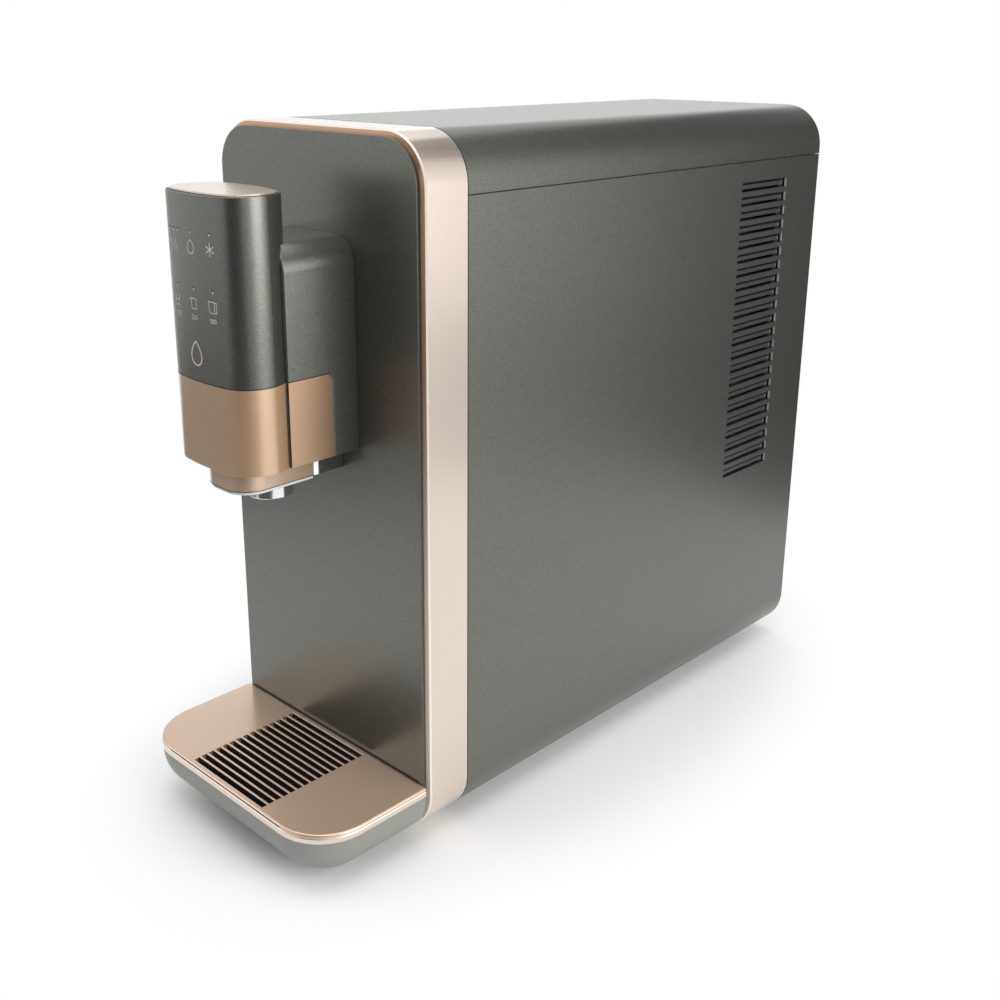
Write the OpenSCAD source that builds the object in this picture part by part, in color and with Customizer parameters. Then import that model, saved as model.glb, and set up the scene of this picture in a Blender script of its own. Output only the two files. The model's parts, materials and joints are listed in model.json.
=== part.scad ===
// Slim countertop water purifier with a chilled tank, a flow heater and three twist-in cartridges.
// X is across the width, Y runs from the dispensing side to the rear and Z is up.
// The origin lies on the worktop, under the middle of the whole outline.
// Inside the modules Y = 0 is the face of the front panel and Z = 0 is the underside of the body.

/* [Body] */
// Width of the body over its two side panels
body_w = 167; // [160:1:180]
// Depth of the body from the face of the front panel to the rear edge of the side panels
body_d = 373; // [368:1:395]
// Height of the body without its feet
body_h = 390; // [380:1:420]
// Radius of the two long upper edges
top_r = 27; // [20:0.5:30]
// Radius of the two long lower edges
bottom_r = 29; // [22:0.5:32]
// Wall of the outer panels
wall = 2.4; // [2:0.1:3]
// Drop from the top of the body to the seam between top cover and side panel
seam_drop = 31.4; // [31:0.1:40]
// Visible width of the seams between the outer panels
seam_gap = 0.4; // [0.3:0.05:0.6]
// Height of the rubber feet
foot_h = 4; // [3:0.5:8]
// Radius of the rubber feet
foot_r = 9; // [7:0.5:11]

/* [Front] */
// Distance from the face of the front panel to the rear edge of the metal-coloured band
band_d = 31.7; // [28:0.1:36]
// Width of the lip that frames the front panel
lip_w = 4.1; // [3:0.1:6]
// How far the front panel stands out in front of that lip
panel_proud = 3.2; // [2:0.1:3.6]
// Thickness of the front panel
panel_t = 4; // [3.8:0.1:5]
// Bevel on the front edge of the band
band_bevel = 0.8; // [0.4:0.1:1.4]

/* [Side vents] */
// Number of slots in each side panel
vent_n = 22; // [16:1:22]
// Distance from one slot to the next
vent_pitch = 9.2; // [8.6:0.1:9.4]
// Height of one slot
vent_h = 5.8; // [4.5:0.1:6.2]
// Length of one slot
vent_len = 52.2; // [40:0.2:56]
// Drop from the top of the body to the first slot
vent_drop = 44.8; // [42:0.2:50]
// Distance from the rear end of the slots to the rear edge of the body
vent_rear = 41; // [36:0.5:48]

/* [Dispensing head] */
// Width of the head
head_w = 69.2; // [66:0.2:72]
// Reach of the head in front of the front panel
head_front = 74.6; // [73:0.2:80]
// Distance from the front panel to the back of the head
head_rear = 35.6; // [34:0.2:38]
// Distance from the front panel to the widest line of the head
head_mid = 59; // [57:0.2:60]
// Radius of the front of the head
head_front_r = 133; // [110:1:200]
// Radius of the two front corners of the head
head_corner_r = 17; // [14:0.5:19]
// Radius of the two flanks of the head
head_side_r = 29; // [26:0.5:34]
// Radius of the back of the head
head_rear_r = 84; // [74:1:110]
// Drop from the top of the body to the upper rim of the head
head_drop = 29; // [24:0.5:35]
// Height of the dark cover of the head
cover_h = 93.7; // [89:0.1:98]
// Height of the sleeve below it
sleeve_h = 45.2; // [42:0.1:48]
// Distance from the front panel to the upright seam between front and rear cover
head_seam = 53; // [51:0.2:55]
// Wall of the head covers
head_wall = 2.2; // [1.8:0.1:2.6]
// Height of the cap above the rim of the head
cap_rise = 1; // [0.4:0.1:2]
// Distance between neighbouring touch keys
key_pitch = 15.3; // [14:0.1:16]
// Drop from the rim of the head to the upper row of lamps
lamp_drop = 18; // [16:0.5:20]
// Drop from the rim of the head to the lower row of lamps
cup_lamp_drop = 46; // [44:0.5:48]

/* [Neck] */
// Width of the neck that carries the head
neck_w = 66.8; // [64:0.2:68]
// Distance from the front panel to the front face of the neck
neck_front = 45; // [44:0.1:46]
// Drop from the rim of the head to the top of the neck
neck_drop = 25; // [20:0.5:30]
// Radius of the upper edges of the neck
neck_r = 13.5; // [8:0.5:18]
// Wall of the neck
neck_wall = 2.6; // [2.2:0.1:3.2]
// Length of the trim plates on the flanks of the neck
trim_len = 28.2; // [24:0.2:34]
// Thickness of those plates
trim_t = 1.5; // [1:0.1:1.8]

/* [Nozzle] */
// Width of the step below the head
step_w = 39.2; // [36:0.2:42]
// Reach of that step in front of the front panel
step_front = 66.8; // [64:0.2:68]
// Radius of its front corners
step_r = 14.9; // [10:0.1:16]
// Height of the step
step_h = 13.4; // [11:0.1:15]
// Distance from the front panel to the front face of the lit strip in the step
strip_front = 20.6; // [19:0.1:22]
// Thickness of the lit strip
strip_t = 3.2; // [2:0.1:5]
// Height of the clear ring below the step
ring_h = 1.8; // [1.2:0.1:2.6]
// Distance from the front panel to the axis of the nozzle
nozzle_mid = 35.1; // [34:0.1:37]
// Radius of the nozzle tip
nozzle_r = 12.8; // [11:0.1:14]
// Length of the nozzle tip below the clear ring
nozzle_drop = 8.8; // [6:0.1:12]
// Gap round the nozzle tip in its socket
nozzle_gap = 0.3; // [0.2:0.05:0.5]

/* [Drip tray] */
// Reach of the tray in front of the front panel
tray_d = 78.3; // [76.5:0.1:90]
// Radius of the front corners of the tray
tray_r = 31; // [29:0.5:36]
// Height of the top of the tray
tray_top = 35.5; // [33:0.5:42]
// Thickness of the tray's top plate
plate_t = 1.7; // [1.4:0.1:2.4]
// Height of the metal-coloured rim under the plate
rim_h = 3.6; // [2.6:0.1:4.6]
// Clearance of the tray above the underside of the body
tray_lift = 3.5; // [2:0.1:6]
// Radius of the tray's lower edge
tray_edge_r = 24; // [16:0.5:26]
// Number of slots in the grille
slot_n = 15; // [11:1:15]
// Distance from one slot to the next
slot_pitch = 4.84; // [4.4:0.02:4.84]
// Width of the bars between the slots
bar_w = 1.45; // [1.1:0.05:2]
// Width of the grille across the tray
grille_w = 66; // [56:1:80]
// Depth of the grille block below the top plate
grille_t = 3; // [2:0.1:4]
// Distance from the front panel to the rearmost slot
grille_rear = 3.6; // [3.4:0.1:6]

/* [Filters] */
// Radius of a cartridge
filter_r = 28; // [25:0.5:29]
// Height of a cartridge above its socket
filter_h = 214; // [180:1:230]
// Distance between neighbouring cartridges
filter_gap = 62; // [60:0.5:64]
// Radius of a cartridge's neck
filter_neck_r = 12; // [10:0.1:13]
// Running clearance of the neck in its socket
filter_fit = 0.05; // [0.02:0.01:0.1]

/* [Machinery] */
// Radius of the chilled tank
tank_r = 33.5; // [28:0.5:35]
// Height of the chilled tank
tank_h = 186; // [150:1:200]
// Radius of the compressor
comp_r = 45; // [40:0.5:46]
// Room above the compressor's pot for its pipes
comp_room = 17.9; // [16:0.1:30]
// Radius of the cooling fan
fan_r = 40; // [34:0.5:42]
// Number of fan blades
fan_blades = 7; // [5:1:9]
// Number of fins on the condenser
fin_n = 23; // [16:1:24]
// Radius of the water pipes
pipe_r = 3.2; // [2.8:0.1:3.6]
// Radius of the copper pipes
copper_r = 2.5; // [2:0.1:3]

/* [Rear connections] */
// Radius of the tube that the water fittings take
tube_r = 3.2; // [3:0.05:3.4]
// Depth of the seat for that tube
tube_seat = 12; // [10:0.5:14]
// Travel of the release collar of a water fitting
collar_travel = 1.2; // [0.8:0.1:1.6]
// Radius of the opening in the mains cord gland
gland_bore_r = 3.7; // [3:0.1:4.5]
// Swing of a power switch between its two positions
rocker_swing = 24; // [16:1:28]

/* [Hidden] */
$fn = 96;

// clearances
slip = 0.3;
step_gap = 0.2;
eps = 0.01;
over = 1;

// body levels and faces
hw = body_w / 2;
seam_z = body_h - seam_drop;
panel_y = body_d - 1.5;
rear_t = wall;
rear_in = panel_y - rear_t;
flange_t = 2.5;
frame_front = panel_t + flange_t;
frame_t = 2.5;
frame_back = frame_front + frame_t;
lining = wall + slip;
side_front = band_d + seam_gap;
wrap_x = hw - bottom_r - 6.5;
floor_t = 3;
floor_z = wall + floor_t;
pan_wall = 2.6;
pan_top = 42;
rim_back = side_front + 6;
skirt_t = 1.8;
skirt_drop = 8;
cover_rib_start = 20;
cover_rib_pitch = 84;
ledge_w = 4.5;
ledge_t = 3;

// levels of the head and the neck
head_top = body_h - head_drop;
head_split = head_top - cover_h;
head_bottom = head_split - sleeve_h;
neck_top = head_top - neck_drop;

// service window behind the neck
window_w = 48;
window_low = head_bottom + 10;
window_high = neck_top - 14;
cover_flange = 2.4;

// guide rails of the drip tray
rail_x = 32;
rail_w = 20;
rail_z = tray_lift + 9;
rail_h = 8;
rail_in = frame_back + 6;

// head outline
head_front_c = [0, head_front_r - head_front];
head_side_c = [head_w / 2 - head_side_r, -head_mid];
head_span = norm(head_side_c - head_front_c);
head_dir = (head_side_c - head_front_c) / head_span;
head_reach = head_front_r - head_corner_r;
head_along = (pow(head_reach, 2) - pow(head_side_r - head_corner_r, 2) + pow(head_span, 2))
    / (2 * head_span);
head_off = sqrt(pow(head_reach, 2) - pow(head_along, 2));
head_corner_c = head_front_c + head_along * head_dir + head_off * [-head_dir.y, head_dir.x];
toward_front = (head_corner_c - head_front_c) / norm(head_corner_c - head_front_c);
toward_side = (head_corner_c - head_side_c) / norm(head_corner_c - head_side_c);
cap_seat = head_top - 2.5;
cap_inset = 1.3;
cap_ledge = 2;
rim_wall = 1;
neck_hw = neck_w / 2;
floor_plate_t = 2.5;
board_face = head_front - 8.6;
board_low = head_split + 6;
board_high = head_top - 8;

// nozzle levels
step_z = head_bottom - step_h;
ring_z = step_z - ring_h;
tip_z = ring_z - nozzle_drop;
tip_top = step_z + 5;
spigot_r = 6;
spigot_bore = 3.2;
spigot_low = tip_z + 8;
spigot_high = head_bottom + 14;
outlet_z = head_bottom + 60;

// drip tray levels
tray_hw = body_w / 2;
plate_z = tray_top - plate_t;
rim_z = plate_z - rim_h;
tray_wall = 2.6;
tray_back = 0.4;

// filters
bracket_t = 2;
bracket_z = 58;
manifold_z = bracket_z + bracket_t;
manifold_h = 24;
socket_z = manifold_z + manifold_h;
filter_y = frame_back + 7 + filter_r + 4;
filter_x = filter_gap / 2 + 3;
back_filter_y = filter_y + filter_gap;
manifold_hw = filter_x + filter_r + 3.5;
manifold_front = filter_y - filter_r - 2;
manifold_back = back_filter_y + filter_r + 2;
valve_step = 24;
socket_depth = 18;
lug_r = filter_neck_r + 4;
lug_low = socket_z - 13;
lug_high = socket_z - 7;
lug_w = 7;
shoulder_gap = 0.2;
handle_h = 20;

// chilled tank, between the pipes that pass it
port_x = hw - 23;
pipe_gap = 1.3;
supply_h = 46;
foam_z = floor_z + supply_h;
foam_front = manifold_back + 6;
foam_pad = 8.5;
tank_y = foam_front + tank_r + foam_pad;
foam_back = tank_y + tank_r + foam_pad;
foam_hw = port_x - pipe_r - pipe_gap;
foam_base = 22;
foam_top = 24;
foam_h = foam_base + tank_h + foam_top;
tank_z = foam_z + foam_base;
evap_t = 1;
evap_low = tank_z + 24;
evap_high = tank_z + tank_h - 24;
evap_turns = 13;
evap_pitch = (evap_high - evap_low - 6) / (evap_turns - 1);
evap_in = evap_low + 3 + 10.5 * evap_pitch;
evap_out = evap_low + 3 + 5.5 * evap_pitch;
partition_y = foam_back + 4;
partition_t = 2;
partition_back = partition_y + partition_t;
partition_top = seam_z - skirt_drop - ledge_t - slip;
pan_in = lining + pan_wall + slip;

// machine bay
shelf_t = 2;
shelf_z = body_h - vent_drop - vent_n * vent_pitch - 4;
shelf_top = shelf_z + shelf_t;
comp_x = 4;
comp_y = rear_in - 20 - comp_r;
mount_h = 9;
comp_base = floor_z + mount_h;
comp_foot_t = 2.5;
comp_top = shelf_z - comp_room;
comp_h = comp_top - comp_base - comp_foot_t;
comp_stub = 6;
vent_back = body_d - vent_rear;
vent_mid = vent_back - vent_len / 2;
vent_top = body_h - vent_drop;
cond_hy = 46;
cond_x = 26;
cond_t = 38;
cond_h = 186;
cond_mid = shelf_top + 3 + cond_h / 2;
cond_rows = 8;
cond_step = (cond_h - 20) / (cond_rows - 1);
cond_pipe_x = cond_x + cond_t / 2;
cond_pipe_z = cond_mid - cond_h / 2 + 10;
line_y = (partition_back + vent_mid - cond_hy) / 2;
shroud_t = 18;
fan_plate_t = 2.5;
fan_depth = 22;
fan_room = 7;
fan_axis_x = cond_x - shroud_t;
board_x = -(hw - lining - 8);
board_z = floor_z + 26;
board_len = 76;
board_room = 23.4;

// rear connections
inlet_z = 34;
feed_z = manifold_z + 6.5;
drain_z = manifold_z + 18;
fitting_out = 8;
fitting_r = 8;
fitting_in = 16;
shank_step = 2;
collar_r = tube_r + 1.6;
collar_out = 2.2;
gland_x = -(hw - 33);
gland_z = 26;
switch_x = -(hw - 30);
switch_z = 222;
switch_step = 30;
rocker_r = 7.2;
rocker_w = 10;
rear_end = panel_y + fitting_out + collar_out;
mid_y = (rear_end - tray_d) / 2;

dark = [0.36, 0.36, 0.33];
rose = [0.79, 0.66, 0.56];
black = [0.12, 0.12, 0.12];

// puts a piece on the worktop, with the outline centred on the origin
module placed() {
    translate([0, -mid_y, foot_h]) children();
}

// stretches a drawing in X and Z from one depth to another
module along_y(from, to) {
    translate([0, to, 0]) rotate([90, 0, 0]) linear_extrude(to - from) children();
}

// stretches a drawing in Y and Z from one side to the other
module along_x(from, to) {
    translate([from, 0, 0]) rotate([90, 0, 90]) linear_extrude(to - from) children();
}

// block between two corners
module block(low, high) {
    translate(low) cube(high - low);
}

// repeats its children on the other side of the middle plane
module both_sides() {
    children();
    mirror([1, 0, 0]) children();
}

// outline of the body seen from the front, drawn in by i
module body_section(i = 0) {
    w = hw - i;
    rt = top_r - i;
    rb = bottom_r - i;
    middle = body_h / 2;
    translate([-w, i + rb]) square([2 * w, body_h - 2 * i - rt - rb]);
    translate([rt - w, middle]) square([2 * (w - rt), middle - i]);
    translate([rb - w, i]) square([2 * (w - rb), middle - i]);
    for (s = [-1, 1]) {
        translate([s * (w - rt), body_h - i - rt]) circle(rt);
        translate([s * (w - rb), i + rb]) circle(rb);
    }
}

module body_ring(outer, inner) {
    difference() {
        body_section(outer);
        body_section(inner);
    }
}

// outline of the head seen from above, drawn in by i
module head_plan(i = 0) {
    reach = head_w;
    difference() {
        intersection() {
            translate(head_front_c) circle(head_front_r - i);
            translate([0, -head_rear - head_rear_r]) circle(head_rear_r - i);
            both_sides() intersection() {
                translate(head_side_c) circle(head_side_r - i);
                translate([-eps, -2 * reach]) square([reach, 2 * reach]);
            }
        }
        both_sides() difference() {
            polygon([
                head_corner_c,
                head_corner_c + reach * toward_front,
                head_corner_c + reach * (toward_front + toward_side),
                head_corner_c + reach * toward_side
            ]);
            translate(head_corner_c) circle(head_corner_r - i);
        }
    }
}

module head_ring(low, high, outer, inner) {
    translate([0, 0, low]) linear_extrude(high - low) difference() {
        head_plan(outer);
        head_plan(inner);
    }
}

// part of the space in front of or behind a plane across the head
module before(y) {
    block([-head_w, -2 * head_w, 0], [head_w, y, body_h]);
}

module behind(y) {
    block([-head_w, y, 0], [head_w, 0, body_h]);
}

// outline of the step below the head, drawn in by i
module step_plan(i = 0) {
    w = step_w / 2 - i;
    r = step_r - i;
    front = -step_front + i;
    back = -strip_front;
    translate([-w, front + r]) square([2 * w, back - front - r]);
    translate([r - w, front]) square([2 * (w - r), r]);
    for (s = [-1, 1]) translate([s * (w - r), front + r]) circle(r);
}

// solid with the plan of the drip tray: the drawing holds radius and height, and low and high
// are its height at the middle
module tray_form(low, high) {
    cx = tray_hw - tray_r;
    cy = -(tray_d - tray_r);
    both_sides() {
        translate([cx, cy, 0]) rotate([0, 0, -90]) rotate_extrude(angle = 90) children();
        translate([cx, -tray_back, 0]) rotate([90, 0, 0])
            linear_extrude(-tray_back - cy) children();
    }
    translate([-cx, cy, 0]) rotate([90, 0, -90]) translate([0, 0, -2 * cx])
        linear_extrude(2 * cx) children();
    block([-cx, cy, low], [cx, -tray_back, high]);
}

// pipe along an axis-parallel route, with round bends
function side_of(u) = abs(u.z) < 0.5 ? [0, 0, 1] : [1, 0, 0];
module turned(x, y, z) {
    multmatrix([[x.x, y.x, z.x, 0], [x.y, y.y, z.y, 0], [x.z, y.z, z.z, 0], [0, 0, 0, 1]]) children();
}
module pipe(route, r, bend) {
    last = len(route) - 1;
    for (k = [0 : last - 1]) {
        step = route[k + 1] - route[k];
        u = step / norm(step);
        a = side_of(u);
        head = k == 0 ? 0 : bend;
        tail = k == last - 1 ? 0 : bend;
        translate(route[k] + head * u) turned(a, cross(u, a), u)
            cylinder(r = r, h = norm(step) - head - tail);
        if (k < last - 1) {
            next = route[k + 2] - route[k + 1];
            v = next / norm(next);
            translate(route[k + 1] - bend * u + bend * v) turned(-v, u, cross(u, v))
                rotate_extrude(angle = 90) translate([bend, 0]) circle(r);
        }
    }
}

// casing

module base_pan() {
    placed() color(dark) difference() {
        union() {
            along_y(frame_back, rear_in) difference() {
                intersection() {
                    body_section(lining);
                    translate([-hw, 0]) square([body_w, pan_top]);
                }
                intersection() {
                    body_section(lining + pan_wall);
                    translate([-hw, floor_z]) square([body_w, pan_top]);
                }
            }
            block([bottom_r - hw, frame_back, wall], [hw - bottom_r, rear_in, floor_z]);
            block([slip - wrap_x, side_front, 0], [wrap_x - slip, rear_in, wall + eps]);
        }
        for (k = [0 : 5]) block(
            [-24, comp_y - 30 + 10 * k, -over],
            [24, comp_y - 26 + 10 * k, floor_z + over]
        );
    }
}

module feet() {
    foot_x = wrap_x - foot_r - 3;
    placed() color(black) for (x = [-foot_x, foot_x], y = [side_front + 22, rear_in - 30]) {
        translate([x, y, -foot_h]) difference() {
            cylinder(r = foot_r, h = foot_h);
            translate([0, 0, -over]) cylinder(r = foot_r / 3, h = foot_h / 2 + over);
        }
    }
}

module side_shell() {
    difference() {
        union() {
            intersection() {
                along_y(side_front, body_d) body_ring(0, wall);
                block([wrap_x, 0, -over], [hw + over, body_d + over, seam_z - seam_gap]);
            }
            block(
                [hw - wall - ledge_w, rim_back + 4, seam_z - skirt_drop - ledge_t],
                [hw - wall, rear_in - 4, seam_z - skirt_drop]
            );
        }
        for (k = [0 : vent_n - 1]) translate(
            [hw - wall - over, vent_back - vent_len, vent_top - vent_h - k * vent_pitch]
        ) cube([wall + 2 * over, vent_len, vent_h]);
    }
}

module side_panel_right() {
    placed() color(dark) side_shell();
}

module side_panel_left() {
    placed() color(dark) mirror([1, 0, 0]) side_shell();
}

// slanted blades that stand in the slots, on two upright rails
module louvre() {
    face = hw - 1.2;
    back = hw - wall - 5;
    blade_end = 3.2;
    half = vent_h / 2 - 1.1;
    rail = 5;
    for (k = [0 : vent_n - 1]) {
        z = vent_top - vent_h / 2 - k * vent_pitch;
        along_y(vent_back - vent_len + slip, vent_back - blade_end) polygon([
            [face, z - half],
            [face, z + half],
            [back, z + half + 1.6],
            [back, z - half + 3.2]
        ]);
    }
    low = vent_top - vent_n * vent_pitch;
    for (y = [vent_back - vent_len - rail + 1, vent_back - blade_end - 2])
        block([back, y, low], [hw - wall, y + rail, vent_top + 2]);
}

module vent_louvre_right() {
    placed() color(dark) louvre();
}

module vent_louvre_left() {
    placed() color(dark) mirror([1, 0, 0]) louvre();
}

module top_cover() {
    skirt = wall + slip;
    rib = 3;
    placed() color(dark) {
        intersection() {
            along_y(side_front, body_d) body_ring(0, wall);
            block([-hw - over, 0, seam_z], [hw + over, body_d + over, body_h + over]);
        }
        both_sides() difference() {
            block(
                [hw - skirt - skirt_t, rim_back + 6, seam_z - skirt_drop],
                [hw - skirt, rear_in - 6, seam_z + 6]
            );
            block([0, 0, seam_z + 3], [hw - skirt - skirt_t - over, body_d, body_h]);
        }
        both_sides() for (k = [0 : 3]) block(
            [hw - skirt - skirt_t, rim_back + cover_rib_start + k * cover_rib_pitch, seam_z],
            [hw - wall + eps, rim_back + cover_rib_start + rib + k * cover_rib_pitch, seam_z + 6]
        );
    }
}

module rear_panel() {
    slit_w = 3.5;
    slit_h = 76;
    row_pitch = 88;
    placed() color(dark) difference() {
        along_y(rear_in, panel_y) body_section(lining);
        for (k = [0 : 7], row = [0, 1])
            translate([8 + k * 2 * slit_w, rear_in - over, shelf_top + 16 + row * row_pitch])
                cube([slit_w, rear_t + 2 * over, slit_h]);
        for (k = [0 : 8]) block(
            [comp_x - 28 + k * 6, rear_in - over, comp_base + 55],
            [comp_x - 28 + k * 6 + slit_w, panel_y + over, comp_top - 3]
        );
        for (z = [inlet_z, drain_z]) translate([port_x, rear_in - over, z]) rotate([-90, 0, 0])
            cylinder(r = fitting_r - shank_step + 0.2, h = rear_t + 2 * over);
        translate([gland_x, rear_in - over, gland_z]) rotate([-90, 0, 0])
            cylinder(r = gland_bore_r, h = rear_t + 2 * over);
        block(
            [switch_x - rocker_w / 2 - 2, rear_in - over, switch_z - rocker_r - 2],
            [switch_x + rocker_w / 2 + 2, panel_y + over, switch_z + switch_step + rocker_r + 2]
        );
    }
    placed() color(dark) translate([gland_x, rear_in, gland_z]) rotate([-90, 0, 0]) difference() {
        union() {
            translate([0, 0, -8]) cylinder(r = gland_bore_r + 2, h = 8 + eps);
            translate([0, 0, rear_t - eps]) cylinder(r = gland_bore_r + 3.5, h = 3 + eps);
        }
        translate([0, 0, -8 - over]) cylinder(r = gland_bore_r, h = 8 + rear_t + 3 + 2 * over);
    }
}

// slab with the outline of the body and a bevel on its front edge
module bevelled_slab(front, back, b) {
    bevel_end = front + b;
    middle = body_h / 2;
    along_y(bevel_end - eps, back) body_section();
    along_y(front, bevel_end) body_section(bottom_r / 2);
    for (corner = [
        [hw - top_r, body_h - top_r, top_r, 0],
        [top_r - hw, body_h - top_r, top_r, 90],
        [bottom_r - hw, bottom_r, bottom_r, 180],
        [hw - bottom_r, bottom_r, bottom_r, 270]
    ]) translate([corner[0], bevel_end, corner[1]]) rotate([90, 0, 0]) rotate([0, 0, corner[3]])
        rotate_extrude(angle = 90) polygon([[0, 0], [corner[2], 0], [corner[2] - b, b], [0, b]]);
    both_sides() translate([0, 0, bottom_r]) linear_extrude(body_h - top_r - bottom_r)
        polygon([[0, bevel_end], [hw, bevel_end], [hw - b, front], [0, front]]);
    along_x(top_r - hw, hw - top_r) polygon([
        [bevel_end, middle], [bevel_end, body_h], [front, body_h - b], [front, middle]
    ]);
    along_x(bottom_r - hw, hw - bottom_r) polygon([
        [bevel_end, middle], [bevel_end, 0], [front, b], [front, middle]
    ]);
}

module front_bezel() {
    placed() color(rose) difference() {
        bevelled_slab(panel_proud, band_d, band_bevel);
        along_y(-over, panel_t) body_section(lip_w);
        along_y(panel_t - eps, frame_front + eps) body_section(lip_w + 7);
        along_y(frame_front, band_d + over) body_section(wall);
    }
}

module front_panel() {
    placed() color(dark) difference() {
        along_y(0, panel_t) body_section(lip_w + slip);
        block([-window_w / 2, -over, window_low], [window_w / 2, panel_t + over, window_high]);
        rail_slots(-over, panel_t + over);
    }
}

// slots that take the two guide rails of the drip tray
module rail_slots(from, to) {
    both_sides() block(
        [rail_x - slip, from, rail_z - slip],
        [rail_x + rail_w + slip, to, rail_z + rail_h + slip]
    );
}

module front_frame() {
    placed() color(black) difference() {
        union() {
            along_y(frame_front, frame_back) body_section(lining);
            along_y(frame_back - eps, rim_back) intersection() {
                body_ring(lining, lining + 2.2);
                translate([-hw, pan_top + slip]) square([body_w, body_h]);
            }
        }
        block(
            [-window_w / 2, frame_front - over, window_low],
            [window_w / 2, frame_back + over, window_high]
        );
        rail_slots(frame_front - over, frame_back + over);
    }
}

// neck and head

// outline of the neck seen from the front, drawn in by i
module neck_section(i = 0) {
    w = neck_hw - i;
    r = neck_r - i;
    top = neck_top - i;
    low = head_bottom + i;
    translate([-w, low]) square([2 * w, top - r - low]);
    translate([r - w, low]) square([2 * (w - r), top - low]);
    for (s = [-1, 1]) translate([s * (w - r), top - r]) circle(r);
}

// outline of a trim plate in Y and Z, grown by i
module trim_outline(i = 0) {
    r = 4;
    front = -neck_front - over;
    back = trim_len - neck_front + i;
    top = head_split + i;
    translate([front, head_bottom - over]) square([back - front, top - r - head_bottom + over]);
    translate([front, head_bottom]) square([back - r - front, top - head_bottom]);
    translate([back - r, top - r]) circle(r);
}

module neck_housing() {
    placed() color(dark) difference() {
        along_y(-neck_front, 0) neck_section();
        along_y(neck_wall - neck_front, over) neck_section(neck_wall);
        block(
            [-window_w / 2, -neck_front - over, window_low],
            [window_w / 2, neck_wall - neck_front + over, window_high]
        );
        both_sides() along_x(neck_hw - trim_t, neck_hw + over) trim_outline(step_gap);
        block(
            [-step_w / 2 - slip, -neck_front - over, head_bottom - over],
            [step_w / 2 + slip, over, head_bottom + neck_wall + over]
        );
    }
}

module neck_plate() {
    intersection() {
        along_x(neck_hw - trim_t, neck_hw) trim_outline();
        block([0, -neck_front, head_bottom], [neck_hw + over, 0, head_split]);
    }
}

module neck_plate_right() {
    placed() color(rose) neck_plate();
}

module neck_plate_left() {
    placed() color(rose) mirror([1, 0, 0]) neck_plate();
}

// shell of the head from one level to another, with a thin rim that takes the cap
module head_cover_shell() {
    low = head_split + step_gap;
    head_ring(low, cap_seat, 0, head_wall);
    head_ring(cap_seat - eps, head_top, 0, rim_wall);
    head_ring(cap_seat - cap_ledge, cap_seat, head_wall / 2, head_wall + cap_ledge);
}

module head_front_cover() {
    boss_r = 2.5;
    placed() color(dark) {
        intersection() {
            head_cover_shell();
            before(-head_seam - step_gap / 2);
        }
        difference() {
            for (x = [-8, 8], z = [board_low + 6, board_high - 8])
                translate([x, -board_face, z]) rotate([90, 0, 0])
                    cylinder(r = boss_r, h = head_front - board_face);
            translate([0, 0, head_split]) linear_extrude(head_top - head_split) difference() {
                square(4 * head_w, center = true);
                head_plan(head_wall / 2);
            }
        }
    }
}

module head_rear_cover() {
    low = head_split + step_gap;
    placed() color(dark) difference() {
        union() {
            intersection() {
                head_cover_shell();
                behind(step_gap / 2 - head_seam);
            }
            intersection() {
                translate([0, 0, low]) linear_extrude(neck_top - low) head_plan(head_wall / 2);
                block([-head_w, -neck_front - cover_flange, 0], [head_w, -neck_front, body_h]);
            }
        }
        block(
            [-neck_hw - step_gap, -neck_front, 0],
            [neck_hw + step_gap, 0, neck_top + step_gap]
        );
        block(
            [-window_w / 2, -neck_front - cover_flange - over, window_low],
            [window_w / 2, -neck_front + over, window_high]
        );
    }
}

module head_sleeve() {
    floor_top = head_bottom + floor_plate_t;
    placed() color(rose) difference() {
        union() {
            intersection() {
                union() {
                    head_ring(head_bottom, head_split, 0, head_wall);
                    head_ring(floor_top, floor_top + 2, head_wall / 2, head_wall + 2);
                }
                before(-neck_front);
            }
            intersection() {
                translate([0, 0, floor_top]) linear_extrude(head_split - floor_top)
                    head_plan(head_wall / 2);
                block([-head_w, -neck_front - cover_flange, 0], [head_w, -neck_front, body_h]);
            }
        }
        block(
            [-window_w / 2, -neck_front - cover_flange - over, window_low],
            [window_w / 2, -neck_front + over, window_high]
        );
    }
}

module head_cap() {
    top = head_top + cap_rise;
    edge = 0.5;
    placed() color(rose) translate([0, 0, cap_seat]) {
        linear_extrude(top - edge - cap_seat) head_plan(cap_inset);
        linear_extrude(top - cap_seat) head_plan(cap_inset + edge);
    }
}

// plate that closes the head from below and holds the outlet spigot
module head_floor() {
    placed() color(black) difference() {
        union() {
            intersection() {
                translate([0, 0, head_bottom]) linear_extrude(floor_plate_t)
                    head_plan(head_wall + slip);
                before(-neck_front);
            }
            block(
                [-step_w / 2, -neck_front - eps, head_bottom],
                [step_w / 2, 0, head_bottom + floor_plate_t]
            );
            translate([0, -nozzle_mid, spigot_low])
                cylinder(r = spigot_r, h = spigot_high - spigot_low);
        }
        translate([0, -nozzle_mid, spigot_low - over])
            cylinder(r = spigot_bore, h = spigot_high - spigot_low + 2 * over);
    }
}

module display_board() {
    board_t = 1.6;
    board_hw = head_w / 2 - 9.6;
    lamp_h = 1.2;
    back = board_t - board_face;
    placed() {
        color([0.1, 0.35, 0.2]) block([-board_hw, -board_face, board_low], [board_hw, back, board_high]);
        color([0.85, 0.85, 0.8])
            for (x = [-key_pitch, 0, key_pitch], z = [head_top - lamp_drop, head_top - cup_lamp_drop])
                translate([x, eps - board_face - lamp_h, z]) rotate([-90, 0, 0])
                    cylinder(r = 1.6, h = lamp_h);
        color(black) block([-9, back - eps, board_low + 20], [9, back + 3, board_low + 34]);
        color([0.9, 0.9, 0.86])
            block([-14, back - eps, board_low + 4], [14, back + 4.4, board_low + 10]);
    }
}

// nozzle

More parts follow.
